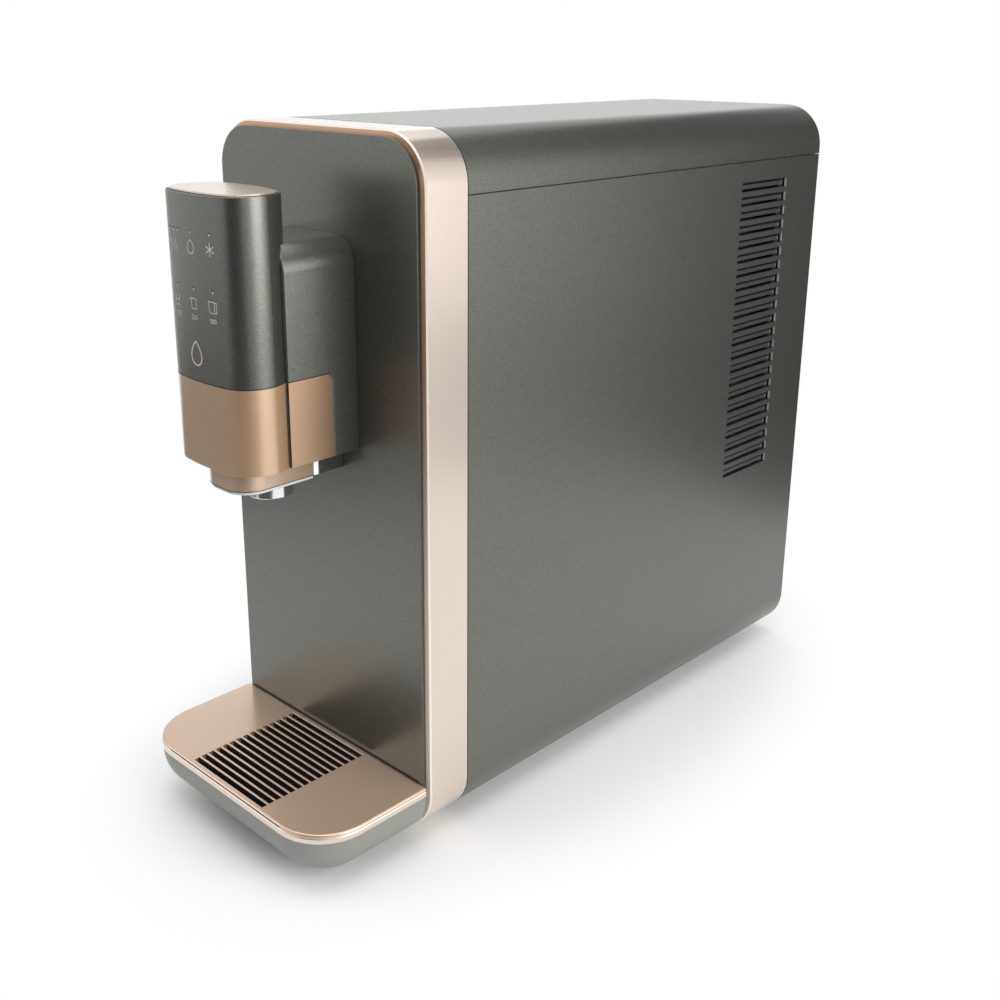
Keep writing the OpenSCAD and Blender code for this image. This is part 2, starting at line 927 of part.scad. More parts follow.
module nozzle_step() {
    placed() color(rose) difference() {
        translate([0, 0, step_z]) linear_extrude(step_h) step_plan();
        translate([0, 0, step_z + 2.4]) linear_extrude(step_h) intersection() {
            step_plan(2.2);
            translate([-step_w, -step_front]) square([2 * step_w, step_front - strip_front - 1.2]);
        }
        translate([0, -nozzle_mid, step_z - over])
            cylinder(r = nozzle_r + nozzle_gap, h = 2.4 + 2 * over);
    }
}

module nozzle_strip() {
    placed() color([0.9, 0.93, 0.95, 0.6]) block(
        [-step_w / 2, -strip_front, step_z],
        [step_w / 2, strip_t - strip_front, head_bottom]
    );
}

module nozzle_block() {
    skin = 2;
    placed() color(dark) difference() {
        block([-step_w / 2, strip_t - strip_front, step_z], [step_w / 2, 0, head_bottom]);
        block(
            [skin - step_w / 2, strip_t - strip_front + skin, step_z + skin],
            [step_w / 2 - skin, -skin, head_bottom + over]
        );
    }
}

module nozzle_ring() {
    placed() color([0.9, 0.93, 0.95, 0.5]) difference() {
        translate([0, 0, ring_z]) linear_extrude(ring_h) step_plan(0.8);
        translate([0, -nozzle_mid, ring_z - over])
            cylinder(r = nozzle_r + nozzle_gap, h = ring_h + 2 * over);
    }
}

// cup round the outlet, a full turn of one profile
module nozzle_tip() {
    shell = 1.5;
    web_z = tip_z + 4;
    hub_r = spigot_r + 0.1;
    placed() color([0.9, 0.9, 0.92]) translate([0, -nozzle_mid, 0]) rotate_extrude() polygon([
        [spigot_bore, web_z],
        [nozzle_r - shell, web_z],
        [nozzle_r - shell, tip_z + 0.6],
        [nozzle_r - shell + 0.6, tip_z],
        [nozzle_r - 0.6, tip_z],
        [nozzle_r, tip_z + 0.6],
        [nozzle_r, tip_top],
        [nozzle_r - shell, tip_top],
        [nozzle_r - shell, web_z + 1.6],
        [hub_r + 1.4, web_z + 1.6],
        [hub_r + 1.4, tip_top],
        [hub_r, tip_top],
        [hub_r, spigot_low - 0.1],
        [spigot_bore, spigot_low - 0.1]
    ]);
}

// drip tray

module drip_tray() {
    inset = 0.5;
    outer = tray_r - inset;
    inner = outer - tray_wall;
    placed() color([0.5, 0.5, 0.47]) {
        difference() {
            tray_form(tray_lift, rim_z) tray_profile(outer, tray_edge_r, tray_lift, rim_z);
            intersection() {
                tray_form(tray_lift + tray_wall, tray_top)
                    tray_profile(inner, tray_edge_r - tray_wall, tray_lift + tray_wall, tray_top);
                block([-body_w, -2 * tray_d, 0], [body_w, -tray_back - tray_wall, body_h]);
            }
        }
        both_sides() block(
            [rail_x, -tray_back - eps, rail_z],
            [rail_x + rail_w, rail_in, rail_z + rail_h]
        );
    }
}

// half section of the tray: flat floor, round lower edge and upright wall
module tray_profile(r, edge, low, high) {
    translate([0, low]) square([r - edge, high - low]);
    translate([0, low + edge]) square([r, high - low - edge]);
    intersection() {
        translate([r - edge, low + edge]) circle(edge);
        translate([0, low]) square([r, edge + eps]);
    }
}

module tray_rim() {
    width = 2.2;
    chamfer = 0.7;
    placed() color(rose) difference() {
        tray_form(rim_z, plate_z) polygon([
            [0, rim_z],
            [tray_r, rim_z],
            [tray_r, plate_z - chamfer],
            [tray_r - chamfer, plate_z],
            [0, plate_z]
        ]);
        intersection() {
            tray_form(rim_z - over, tray_top)
                translate([0, rim_z - over]) square([tray_r - width, tray_top]);
            block([-body_w, -2 * tray_d, 0], [body_w, -tray_back - width, body_h]);
        }
    }
}

// top plate with a rolled edge and a grille of straight bars across it
module tray_cover() {
    roll = 1.5;
    edge = tray_r - slip;
    block_x = grille_w / 2 + 2;
    front = -grille_rear - slot_n * slot_pitch;
    placed() color(rose) difference() {
        union() {
            tray_form(plate_z, tray_top) {
                translate([0, plate_z]) square([edge - roll, plate_t]);
                intersection() {
                    translate([edge - roll, tray_top - roll]) circle(roll);
                    translate([0, plate_z]) square([edge, plate_t]);
                }
                translate([0, plate_z]) square([edge, plate_t - roll]);
            }
            block(
                [-block_x, front + bar_w - 0.8, plate_z - grille_t],
                [block_x, -tray_back - tray_wall - 0.8, plate_z + eps]
            );
        }
        for (k = [0 : slot_n - 1]) translate(
            [-grille_w / 2, -grille_rear - (k + 1) * slot_pitch + bar_w, plate_z - grille_t - over]
        ) cube([grille_w, slot_pitch - bar_w, grille_t + plate_t + 2 * over]);
    }
}

// water side

module filter_bracket() {
    placed() color([0.75, 0.75, 0.75]) {
        block(
            [-manifold_hw, manifold_front, bracket_z],
            [manifold_hw, manifold_back, manifold_z]
        );
        for (x = [-manifold_hw + 14, manifold_hw - 16]) difference() {
            block([x, manifold_front, floor_z], [x + 2, manifold_back, bracket_z + eps]);
            block(
                [x - over, manifold_front + 20, floor_z + 12],
                [x + 2 + over, manifold_back - 20, bracket_z - 10]
            );
        }
    }
}

// places of the three cartridges
filter_spots = [
    [-filter_x, filter_y],
    [filter_x, filter_y],
    [-filter_x, back_filter_y]
];
heater_spot = [filter_x, back_filter_y];

// block with a bayonet socket for each cartridge
module filter_manifold() {
    port_y = manifold_front + 20;
    placed() color([0.9, 0.9, 0.88]) difference() {
        union() {
            block(
                [-manifold_hw, manifold_front, manifold_z],
                [manifold_hw, manifold_back, socket_z]
            );
            translate([0, port_y, socket_z - eps]) cylinder(r = pipe_r + 1.6, h = 6);
        }
        for (spot = filter_spots) translate([spot.x, spot.y, 0]) {
            translate([0, 0, socket_z - socket_depth])
                cylinder(r = filter_neck_r + filter_fit, h = socket_depth + over);
            translate([0, 0, lug_low - slip])
                cylinder(r = lug_r + slip, h = lug_high - lug_low + 2 * slip);
            block(
                [-lug_r - slip, -lug_w / 2 - slip, lug_low - slip],
                [lug_r + slip, lug_w / 2 + slip, socket_z + over]
            );
        }
    }
}

// one cartridge: neck with two lugs, body, domed cap and a grip fin
module cartridge() {
    low = socket_z + shoulder_gap;
    high = low + filter_h;
    edge = 5;
    rotate_extrude() polygon([
        [0, socket_z - socket_depth + 1],
        [filter_neck_r, socket_z - socket_depth + 1],
        [filter_neck_r, low],
        [filter_r - edge, low],
        [filter_r, low + edge],
        [filter_r, high - 14],
        [filter_r - 1.5, high - 12.5],
        [filter_r - 1.5, high - 10],
        [filter_r, high - 8.5],
        [filter_r, high - edge],
        [filter_r - edge, high],
        [0, high]
    ]);
    rotate([0, 0, 90]) intersection() {
        block([-lug_r, -lug_w / 2, lug_low], [lug_r, lug_w / 2, lug_high]);
        translate([0, 0, lug_low]) cylinder(r = lug_r, h = lug_high - lug_low);
    }
    block([3 - filter_r, -2.5, high - eps], [filter_r - 3, 2.5, high + handle_h]);
}

module sediment_filter() {
    placed() color([0.93, 0.93, 0.95]) translate(filter_spots[0]) cartridge();
}

module membrane_filter() {
    placed() color([0.85, 0.9, 0.95]) translate(filter_spots[1]) cartridge();
}

module carbon_filter() {
    placed() color([0.8, 0.82, 0.85]) translate(filter_spots[2]) cartridge();
}

module heater() {
    r = 20;
    h = 150;
    placed() color([0.75, 0.76, 0.78]) translate([heater_spot.x, heater_spot.y, socket_z]) {
        rotate_extrude() polygon([
            [0, 0], [r + 5, 0], [r + 5, 3], [r, 3], [r, 20], [r + 1.5, 20], [r + 1.5, 24],
            [r, 24], [r, h - 24], [r + 1.5, h - 24], [r + 1.5, h - 20], [r, h - 20],
            [r, h - 4], [r - 4, h], [0, h]
        ]);
        for (x = [-9, 9]) translate([x, 0, h - eps]) cylinder(r = 3, h = 9);
        translate([0, 9, h - eps]) cylinder(r = 4.5, h = 5);
    }
}

// block with three solenoid valves, one each for hot, ambient and chilled water
module valve_block() {
    low = floor_z;
    y0 = manifold_front + valve_step;
    placed() {
        color([0.9, 0.9, 0.88]) difference() {
            block([-36, y0, low], [36, y0 + 26, low + 16]);
            translate([0, y0 + 13, low + 9]) rotate([0, 90, 0]) cylinder(r = 3, h = 30);
        }
        color([0.2, 0.25, 0.5]) for (x = [-24, 0, 24]) translate([x, y0 + 13, low + 16 - eps]) {
            cylinder(r = 4.5, h = 30);
            translate([0, 0, 3]) cylinder(r = 9.5, h = 20);
        }
    }
}

// chilled tank

module partition() {
    placed() color([0.75, 0.75, 0.75]) difference() {
        along_y(partition_y, partition_back) intersection() {
            body_section(pan_in);
            translate([-hw, floor_z]) square([body_w, partition_top - floor_z]);
        }
        for (z = [inlet_z, drain_z]) translate([port_x, partition_y - over, z])
            rotate([-90, 0, 0]) cylinder(r = pipe_r + 2, h = partition_t + 2 * over);
        for (z = [evap_in, evap_out]) translate([0, partition_y - over, z])
            rotate([-90, 0, 0]) cylinder(r = copper_r + 2, h = partition_t + 2 * over);
    }
}

// vented steel box that also carries the tank
module power_supply() {
    inset = 8;
    half = foam_hw - 14;
    front = foam_front + inset;
    back = foam_back - inset;
    slits = 10;
    slit_w = 3;
    slit_deep = 4;
    slit_pitch = 7.6;
    placed() color([0.7, 0.7, 0.72]) difference() {
        block([-half, front, floor_z], [half, back, foam_z]);
        for (k = [0 : slits - 1], y = [front - over, back - slit_deep]) translate([
            (k - (slits - 1) / 2) * slit_pitch - slit_w / 2, y, floor_z + inset
        ]) cube([slit_w, slit_deep + over, supply_h - 2 * inset]);
    }
}

// hollow that the tank fills, with room for the evaporator round it
module tank_hollow() {
    translate([0, tank_y, tank_z]) cylinder(r = tank_r + 3 + slip, h = tank_h);
    translate([0, tank_y, tank_z]) cylinder(r = 6 + slip, h = foam_h);
    for (z = [evap_in, evap_out]) translate([0, tank_y, z]) rotate([-90, 0, 0])
        cylinder(r = copper_r + slip, h = foam_hw);
}

module tank_foam_front() {
    placed() color([0.95, 0.95, 0.93]) difference() {
        block([-foam_hw, foam_front, foam_z], [foam_hw, tank_y, foam_z + foam_h]);
        tank_hollow();
    }
}

module tank_foam_rear() {
    placed() color([0.95, 0.95, 0.93]) difference() {
        block([-foam_hw, tank_y, foam_z], [foam_hw, foam_back, foam_z + foam_h]);
        tank_hollow();
    }
}

module cold_tank() {
    dish = 12;
    skin = 1.2;
    neck_h = 34;
    placed() color([0.8, 0.81, 0.83]) translate([0, tank_y, tank_z]) rotate_extrude() polygon([
        [0, dish / 3],
        [tank_r - dish, dish / 3],
        [tank_r - dish, 0],
        [tank_r - 2, 0],
        [tank_r, 2],
        [tank_r, tank_h - dish],
        [tank_r - 3, tank_h - dish / 2],
        [tank_r - dish, tank_h - 1],
        [6, tank_h - slip],
        [6, tank_h + neck_h],
        [6 - skin, tank_h + neck_h],
        [6 - skin, tank_h - slip - skin],
        [tank_r - dish - skin / 2, tank_h - 1 - skin],
        [tank_r - 3 - skin, tank_h - dish / 2 - skin / 2],
        [tank_r - skin, tank_h - dish],
        [tank_r - skin, dish / 3 + skin],
        [0, dish / 3 + skin]
    ]);
}

// sleeve on the tank with the turns of the cooling pipe soldered to it
module evaporator() {
    height = evap_high - evap_low;
    placed() color([0.75, 0.45, 0.3]) translate([0, tank_y, evap_low]) {
        difference() {
            cylinder(r = tank_r + evap_t, h = height);
            translate([0, 0, -over]) cylinder(r = tank_r, h = height + 2 * over);
        }
        for (k = [0 : evap_turns - 1]) translate([0, 0, 3 + k * evap_pitch])
            rotate_extrude() translate([tank_r + evap_t + 0.4, 0]) circle(1.2);
    }
}

// machine bay

module machine_shelf() {
    placed() color([0.75, 0.75, 0.75]) difference() {
        block([4 - hw + lining, partition_back, shelf_z], [hw - lining - 4, rear_in, shelf_top]);
        for (x = [comp_x + 14, 0]) translate([x, line_y, shelf_z - over])
            cylinder(r = copper_r + 1.5, h = shelf_t + 2 * over);
    }
}

// welded pot on a foot plate, with a terminal box on its flank
module compressor() {
    plate_x = comp_r - 3;
    placed() translate([comp_x, comp_y, comp_base]) {
        color([0.08, 0.08, 0.09]) {
            difference() {
                block([-plate_x, -plate_x, 0], [plate_x, plate_x, comp_foot_t]);
                for (x = [-1, 1], y = [-1, 1]) translate([x * (plate_x - 7), y * (plate_x - 7), -over])
                    cylinder(r = 4, h = comp_foot_t + 2 * over);
            }
            translate([0, 0, comp_foot_t]) rotate_extrude() polygon([
                [0, 0],
                [comp_r - 12, 0],
                [comp_r - 4, 6],
                [comp_r - 2, 14],
                [comp_r - 2, comp_h * 0.55],
                [comp_r, comp_h * 0.55],
                [comp_r, comp_h * 0.55 + 5],
                [comp_r - 3, comp_h * 0.55 + 5],
                [comp_r - 4, comp_h - 16],
                [comp_r - 12, comp_h - 5],
                [comp_r - 26, comp_h],
                [0, comp_h]
            ]);
            block([-16, -comp_r - 7, comp_h * 0.2], [16, 8 - comp_r, comp_h * 0.5]);
        }
        color([0.75, 0.45, 0.3]) for (spot = [[14, 0], [-comp_x, 6]])
            translate([spot.x, spot.y, comp_foot_t + comp_h - over])
                cylinder(r = copper_r, h = comp_stub + over);
    }
}

module compressor_mounts() {
    at = comp_r - 10;
    placed() color(black) for (x = [-at, at], y = [-at, at])
        translate([comp_x + x, comp_y + y, floor_z]) rotate_extrude() polygon([
            [0, 0], [7, 0], [7, mount_h], [3.7, mount_h], [3.7, mount_h + comp_foot_t + slip],
            [6, mount_h + comp_foot_t + slip], [5, mount_h + 6], [0, mount_h + 6]
        ]);
}

module condenser() {
    fin_t = 0.8;
    low = cond_mid - cond_h / 2;
    pitch = (2 * cond_hy - 8) / (fin_n - 1);
    placed() {
        color([0.8, 0.8, 0.82]) for (k = [0 : fin_n - 1]) {
            y = vent_mid - cond_hy + 4 + k * pitch;
            block(
                [cond_x, y - fin_t / 2, low - over],
                [cond_x + cond_t, y + fin_t / 2, low + cond_h - over]
            );
        }
        color([0.8, 0.8, 0.82]) for (z = [shelf_top, low + cond_h - 3]) block(
            [cond_x, vent_mid - cond_hy, z],
            [cond_x + cond_t, vent_mid + cond_hy, z + 3]
        );
        color([0.8, 0.8, 0.82]) for (y = [vent_mid - cond_hy, vent_mid + cond_hy - 1.5])
            block([cond_x, y, shelf_top], [cond_x + cond_t, y + 1.5, low + cond_h]);
        color([0.75, 0.45, 0.3]) for (k = [0 : cond_rows - 1])
            translate([cond_pipe_x, vent_mid - cond_hy + 1, cond_pipe_z + k * cond_step])
                rotate([-90, 0, 0]) cylinder(r = copper_r, h = 2 * cond_hy - 2);
        color([0.75, 0.45, 0.3]) for (k = [0 : cond_rows - 2]) {
            s = k % 2 == 0 ? 1 : -1;
            translate([cond_pipe_x, vent_mid + s * cond_hy, cond_pipe_z + (k + 0.5) * cond_step])
                rotate([90, 0, 90]) rotate([0, 0, -90 * s]) rotate_extrude(angle = 180)
                    translate([cond_step / 2, 0]) circle(copper_r);
        }
    }
}

// box that guides the air from the fan through the condenser
module fan_shroud() {
    low = cond_mid - cond_h / 2;
    frame_x = fan_axis_x - fan_depth;
    strut = 3;
    placed() color(black) {
        difference() {
            block(
                [fan_axis_x, vent_mid - cond_hy, shelf_top],
                [cond_x, vent_mid + cond_hy, low + cond_h]
            );
            block(
                [fan_axis_x + fan_plate_t, vent_mid - cond_hy + 2, shelf_top + 2],
                [cond_x + over, vent_mid + cond_hy - 2, low + cond_h - 2]
            );
            translate([fan_axis_x - over, vent_mid, cond_mid]) rotate([0, 90, 0])
                cylinder(r = fan_r + 2, h = fan_plate_t + 2 * over);
        }
        difference() {
            block(
                [frame_x, vent_mid - fan_r - 5, cond_mid - fan_r - 5],
                [fan_axis_x + eps, vent_mid + fan_r + 5, cond_mid + fan_r + 5]
            );
            translate([frame_x - over, vent_mid, cond_mid]) rotate([0, 90, 0])
                cylinder(r = fan_r + 2, h = fan_depth + 2 * over);
        }
        for (a = [45, 135]) translate([frame_x, vent_mid, cond_mid]) rotate([a, 0, 0])
            block([0, -fan_r - 3, -strut / 2], [2.5, fan_r + 3, strut / 2]);
        translate([frame_x, vent_mid, cond_mid]) rotate([0, 90, 0]) cylinder(r = 13, h = 4);
        translate([frame_x + 4 - eps, vent_mid, cond_mid]) rotate([0, 90, 0])
            cylinder(r = 2.5, h = 12);
    }
}

// hub with pitched blades that turns on the shroud's pin
module fan_rotor() {
    pin_r = 2.5;
    hub_r = 14;
    depth = fan_depth - fan_room;
    placed() color([0.2, 0.2, 0.2]) translate([fan_axis_x - depth - 1, vent_mid, cond_mid])
        rotate([0, 90, 0]) difference() {
            union() {
                cylinder(r = hub_r, h = depth);
                for (k = [0 : fan_blades - 1]) rotate([0, 0, k * 360 / fan_blades])
                    translate([0, 0, depth / 2]) intersection() {
                        rotate([38, 0, 0]) block([hub_r - 2, -9, -0.8], [fan_r + 4, 9, 0.8]);
                        translate([0, 0, -depth / 2]) cylinder(r = fan_r, h = depth);
                    }
            }
            translate([0, 0, -over]) cylinder(r = pin_r + 0.05, h = 13 + over);
        }
}

module main_board() {
    y0 = comp_y - comp_r + 4;
    y1 = y0 + board_len;
    z1 = shelf_z - board_room;
    plate = 2.4;
    placed() {
        color([0.9, 0.9, 0.88]) {
            block([board_x - plate, y0 - 4, board_z - 12], [board_x, y1 + 4, z1 + 4]);
            block([board_x - plate, partition_back, z1 - 50], [board_x, y0, z1 - 34]);
            for (y = [y0 + 6, y1 - 6], z = [board_z + 6, z1 - 6])
                translate([board_x - eps, y, z]) rotate([0, 90, 0]) cylinder(r = 3, h = 5 + 2 * eps);
        }
        color([0.1, 0.35, 0.2]) block([board_x + 5, y0, board_z], [board_x + 6.6, y1, z1]);
        color(black) {
            block([board_x + 6.5, y0 + 8, board_z + 10], [board_x + 18, y0 + 24, board_z + 30]);
            block([board_x + 6.5, y0 + 34, board_z + 32], [board_x + 12, y0 + 62, board_z + 43]);
            translate([board_x + 6.5, y0 + 52, board_z + 18]) rotate([0, 90, 0])
                cylinder(r = 7, h = 15);
        }
    }
}

// pipes and valves

module inlet_valve() {
    placed() translate([port_x, partition_back, inlet_z]) {
        color([0.9, 0.9, 0.88]) difference() {
            union() {
                block([-9, 0, -10], [9, 24, 8]);
                translate([0, 23, 0]) rotate([-90, 0, 0]) cylinder(r = pipe_r + 2, h = 7);
            }
            translate([0, -over, 0]) rotate([-90, 0, 0]) cylinder(r = pipe_r - 1, h = 32 + over);
        }
        color([0.2, 0.25, 0.5]) translate([0, 12, 8 - eps]) cylinder(r = 9, h = 24);
    }
}

// from the rear fitting to the inlet valve and on to the manifold
module feed_pipe() {
    rise_y = partition_back - 36;
    placed() color([0.85, 0.9, 0.95]) {
        pipe([
            [port_x, partition_back, inlet_z],
            [port_x, rise_y, inlet_z],
            [port_x, rise_y, feed_z],
            [port_x, manifold_back, feed_z]
        ], pipe_r, 10);
        pipe([
            [port_x, rear_in - fitting_in, inlet_z],
            [port_x, partition_back + 30, inlet_z]
        ], pipe_r, 10);
    }
}

module drain_pipe() {
    placed() color([0.3, 0.3, 0.32]) pipe([
        [port_x, rear_in - fitting_in, drain_z],
        [port_x, manifold_back, drain_z]
    ], pipe_r, 10);
}

// from the manifold up behind the front panel, through the neck and down to the outlet
module outlet_pipe() {
    port_y = manifold_front + 20;
    bend = 12;
    placed() color([0.85, 0.9, 0.95]) pipe([
        [0, port_y, socket_z + 6],
        [0, port_y, outlet_z],
        [0, -nozzle_mid, outlet_z],
        [0, -nozzle_mid, spigot_high]
    ], pipe_r + 0.6, bend);
}

// lines from the compressor to the condenser, on to the evaporator and back
module copper_pipes() {
    bend = 5;
    lift = comp_top + comp_stub + bend + 1;
    high_z = cond_pipe_z + (cond_rows - 1) * cond_step;
    cond_front = vent_mid - cond_hy;
    evap_y = tank_y + tank_r + evap_t + 0.1;
    placed() color([0.75, 0.45, 0.3]) {
        pipe([
            [comp_x + 14, comp_y, comp_top + comp_stub],
            [comp_x + 14, comp_y, lift],
            [comp_x + 14, line_y, lift],
            [comp_x + 14, line_y, cond_pipe_z],
            [cond_pipe_x, line_y, cond_pipe_z],
            [cond_pipe_x, cond_front, cond_pipe_z]
        ], copper_r, bend);
        pipe([
            [cond_pipe_x, cond_front, high_z],
            [cond_pipe_x, line_y, high_z],
            [cond_pipe_x - 11, line_y, high_z],
            [cond_pipe_x - 11, line_y, evap_in],
            [0, line_y, evap_in],
            [0, evap_y, evap_in]
        ], copper_r, bend);
        pipe([
            [0, evap_y, evap_out],
            [0, line_y, evap_out],
            [0, line_y, lift],
            [0, comp_y + 6, lift],
            [0, comp_y + 6, comp_top + comp_stub]
        ], copper_r, bend);
    }
}

// rear connections

// push-in fitting: body through the rear panel, with a seat for the tube
module push_fitting() {
    rotate([-90, 0, 0]) difference() {
        union() {
            cylinder(r = fitting_r, h = fitting_out);
            translate([0, 0, -rear_t - eps]) cylinder(r = fitting_r - shank_step, h = rear_t + 2 * eps);
            translate([0, 0, -rear_t - fitting_in])
                cylinder(r = fitting_r - shank_step, h = fitting_in + eps);
        }
        translate([0, 0, fitting_out - 5]) cylinder(r = collar_r + 0.05, h = 5 + over);
        translate([0, 0, fitting_out - 5 - tube_seat]) cylinder(r = tube_r, h = tube_seat + over);
        translate([0, 0, -rear_t - fitting_in - over])
            cylinder(r = tube_r - 1, h = fitting_in + rear_t + fitting_out);
    }
}

module release_collar() {
    rotate([-90, 0, 0]) difference() {
        union() {
            translate([0, 0, fitting_out - 5 + collar_travel + slip])
                cylinder(r = collar_r, h = 5 - collar_travel - slip + collar_out - 0.8);
            translate([0, 0, fitting_out + collar_travel + 0.2])
                cylinder(r = collar_r + 1.4, h = collar_out - collar_travel - 0.2);
        }
        translate([0, 0, -over]) cylinder(r = tube_r + 0.15, h = fitting_out + collar_out + 2 * over);
    }
}

module inlet_fitting() {
    placed() color([0.93, 0.93, 0.93]) translate([port_x, panel_y, inlet_z]) push_fitting();
}

module inlet_collar() {
    placed() color([0.2, 0.45, 0.75]) translate([port_x, panel_y, inlet_z]) release_collar();
}

module drain_fitting() {
    placed() color([0.93, 0.93, 0.93]) translate([port_x, panel_y, drain_z]) push_fitting();
}

module drain_collar() {
    placed() color([0.3, 0.3, 0.3]) translate([port_x, panel_y, drain_z]) release_collar();
}

// switch body with a round pocket for each rocker
module switch_housing() {
    depth = 16;
    lip = 3.5;
    placed() color(black) translate([switch_x, panel_y, 0]) difference() {
        union() {
            block(
                [-rocker_w / 2 - 2 + slip, -depth, switch_z - rocker_r - 2 + slip],
                [rocker_w / 2 + 2 - slip, eps, switch_z + switch_step + rocker_r + 2 - slip]
            );
            block(
                [-rocker_w / 2 - lip, 0, switch_z - rocker_r - lip],
                [rocker_w / 2 + lip, 1.5, switch_z + switch_step + rocker_r + lip]
            );
        }
        for (z = [switch_z, switch_z + switch_step]) {
            translate([-rocker_w / 2 - slip, 0, z]) rotate([0, 90, 0])
                cylinder(r = rocker_r + slip, h = rocker_w + 2 * slip);
            translate([-rocker_w / 2 - slip, 0, z - rocker_r - slip])
                cube([rocker_w + 2 * slip, 3, 2 * (rocker_r + slip)]);
            translate([-rocker_w / 2 - 1.2, 0, z]) rotate([0, 90, 0])
                cylinder(r = 1.05, h = rocker_w + 2.4);
        }
    }
}

// rocker with a shallow V face, tipped to its on position
module rocker() {
    pin = 1;
    valley = 3;
    rise = 1;
    translate([-rocker_w / 2, 0, 0]) rotate([-rocker_swing / 2, 0, 0]) difference() {
        union() {
            rotate([0, 90, 0]) cylinder(r = rocker_r, h = rocker_w);
            translate([-1, 0, 0]) rotate([0, 90, 0]) cylinder(r = pin, h = rocker_w + 2);
        }
        along_x(-over, rocker_w + over) polygon([
            [valley, 0],
            [valley + rise, rocker_r],
            [2 * rocker_r, rocker_r],
            [2 * rocker_r, -rocker_r],
            [valley + rise, -rocker_r]
        ]);
    }
}

module hot_rocker() {
    placed() color([0.75, 0.15, 0.1]) translate([switch_x, panel_y, switch_z + switch_step]) rocker();
}

module cold_rocker() {
    placed() color([0.1, 0.3, 0.7]) translate([switch_x, panel_y, switch_z]) rocker();
}

base_pan();
feet();
side_panel_right();
side_panel_left();
vent_louvre_right();
vent_louvre_left();
top_cover();
rear_panel();
front_bezel();
front_panel();
front_frame();
neck_housing();
neck_plate_right();
neck_plate_left();
head_front_cover();
head_rear_cover();
head_sleeve();
head_cap();
head_floor();
display_board();
nozzle_step();
nozzle_strip();
nozzle_block();
nozzle_ring();
nozzle_tip();
drip_tray();
tray_rim();
tray_cover();
filter_bracket();
filter_manifold();
sediment_filter();
membrane_filter();
carbon_filter();
heater();
valve_block();
partition();
power_supply();
tank_foam_front();
tank_foam_rear();
cold_tank();
evaporator();
machine_shelf();
compressor();
compressor_mounts();
condenser();
fan_shroud();
fan_rotor();
main_board();
inlet_valve();
feed_pipe();
drain_pipe();
outlet_pipe();
copper_pipes();
inlet_fitting();
inlet_collar();
drain_fitting();
drain_collar();
switch_housing();
hot_rocker();
cold_rocker();
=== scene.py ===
import bpy, bmesh, json, math
from mathutils import Vector, Matrix

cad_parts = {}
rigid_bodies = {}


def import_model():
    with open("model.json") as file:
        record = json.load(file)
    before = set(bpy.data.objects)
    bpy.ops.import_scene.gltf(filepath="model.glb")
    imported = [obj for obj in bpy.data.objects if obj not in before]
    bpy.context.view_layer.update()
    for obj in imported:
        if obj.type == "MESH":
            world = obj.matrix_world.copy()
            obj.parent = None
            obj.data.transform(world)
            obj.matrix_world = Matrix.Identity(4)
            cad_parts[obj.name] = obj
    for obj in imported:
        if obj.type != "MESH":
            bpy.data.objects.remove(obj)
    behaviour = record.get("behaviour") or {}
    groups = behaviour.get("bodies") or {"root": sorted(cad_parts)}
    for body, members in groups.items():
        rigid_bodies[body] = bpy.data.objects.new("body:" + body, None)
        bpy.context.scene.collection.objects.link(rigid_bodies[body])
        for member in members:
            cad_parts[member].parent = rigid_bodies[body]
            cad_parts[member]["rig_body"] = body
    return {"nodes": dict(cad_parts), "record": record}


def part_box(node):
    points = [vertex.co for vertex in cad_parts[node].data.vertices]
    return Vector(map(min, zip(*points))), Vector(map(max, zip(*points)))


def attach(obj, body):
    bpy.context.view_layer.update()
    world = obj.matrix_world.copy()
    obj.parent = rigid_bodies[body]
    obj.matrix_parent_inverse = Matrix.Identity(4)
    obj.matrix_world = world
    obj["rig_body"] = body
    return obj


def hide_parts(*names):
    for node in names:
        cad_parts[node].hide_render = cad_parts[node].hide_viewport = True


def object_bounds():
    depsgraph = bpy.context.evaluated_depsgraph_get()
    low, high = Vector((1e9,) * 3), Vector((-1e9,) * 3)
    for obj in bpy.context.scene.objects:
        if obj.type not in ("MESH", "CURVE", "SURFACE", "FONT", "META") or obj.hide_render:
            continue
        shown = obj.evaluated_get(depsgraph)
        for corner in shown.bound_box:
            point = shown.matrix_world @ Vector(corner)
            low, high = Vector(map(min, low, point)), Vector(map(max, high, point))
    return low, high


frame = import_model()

cadLow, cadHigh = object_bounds()
nodes = frame["nodes"]
slotOf = {part["node"]: part["material_slot"] for part in frame["record"]["subparts"]}

# the front panel's face is y = 0 and the body's underside z = 0 in the millimetres used below
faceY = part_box("front_panel")[0][1]
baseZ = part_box("side_panel_right")[0][2]


def at(x, y, z):
    return Vector((x / 1000, faceY + y / 1000, baseZ + z / 1000))


# shader groups that the finishes share
def startGroup(name, inputs, outputs):
    group = bpy.data.node_groups.new(name, "ShaderNodeTree")
    for label, kind, value in inputs:
        group.interface.new_socket(label, in_out="INPUT", socket_type=kind).default_value = value
    for label, kind in outputs:
        group.interface.new_socket(label, in_out="OUTPUT", socket_type=kind)
    return group, group.nodes.new("NodeGroupInput"), group.nodes.new("NodeGroupOutput")


def put(tree, kind, **sockets):
    node = tree.nodes.new(kind)
    for label, value in sockets.items():
        node.inputs[label].default_value = value
    return node


def mathNode(tree, operation, a, b=None):
    node = tree.nodes.new("ShaderNodeMath")
    node.operation = operation
    for i, value in enumerate((a, b)):
        if value is None:
            continue
        if isinstance(value, (int, float)):
            node.inputs[i].default_value = value
        else:
            tree.links.new(value, node.inputs[i])
    return node.outputs[0]


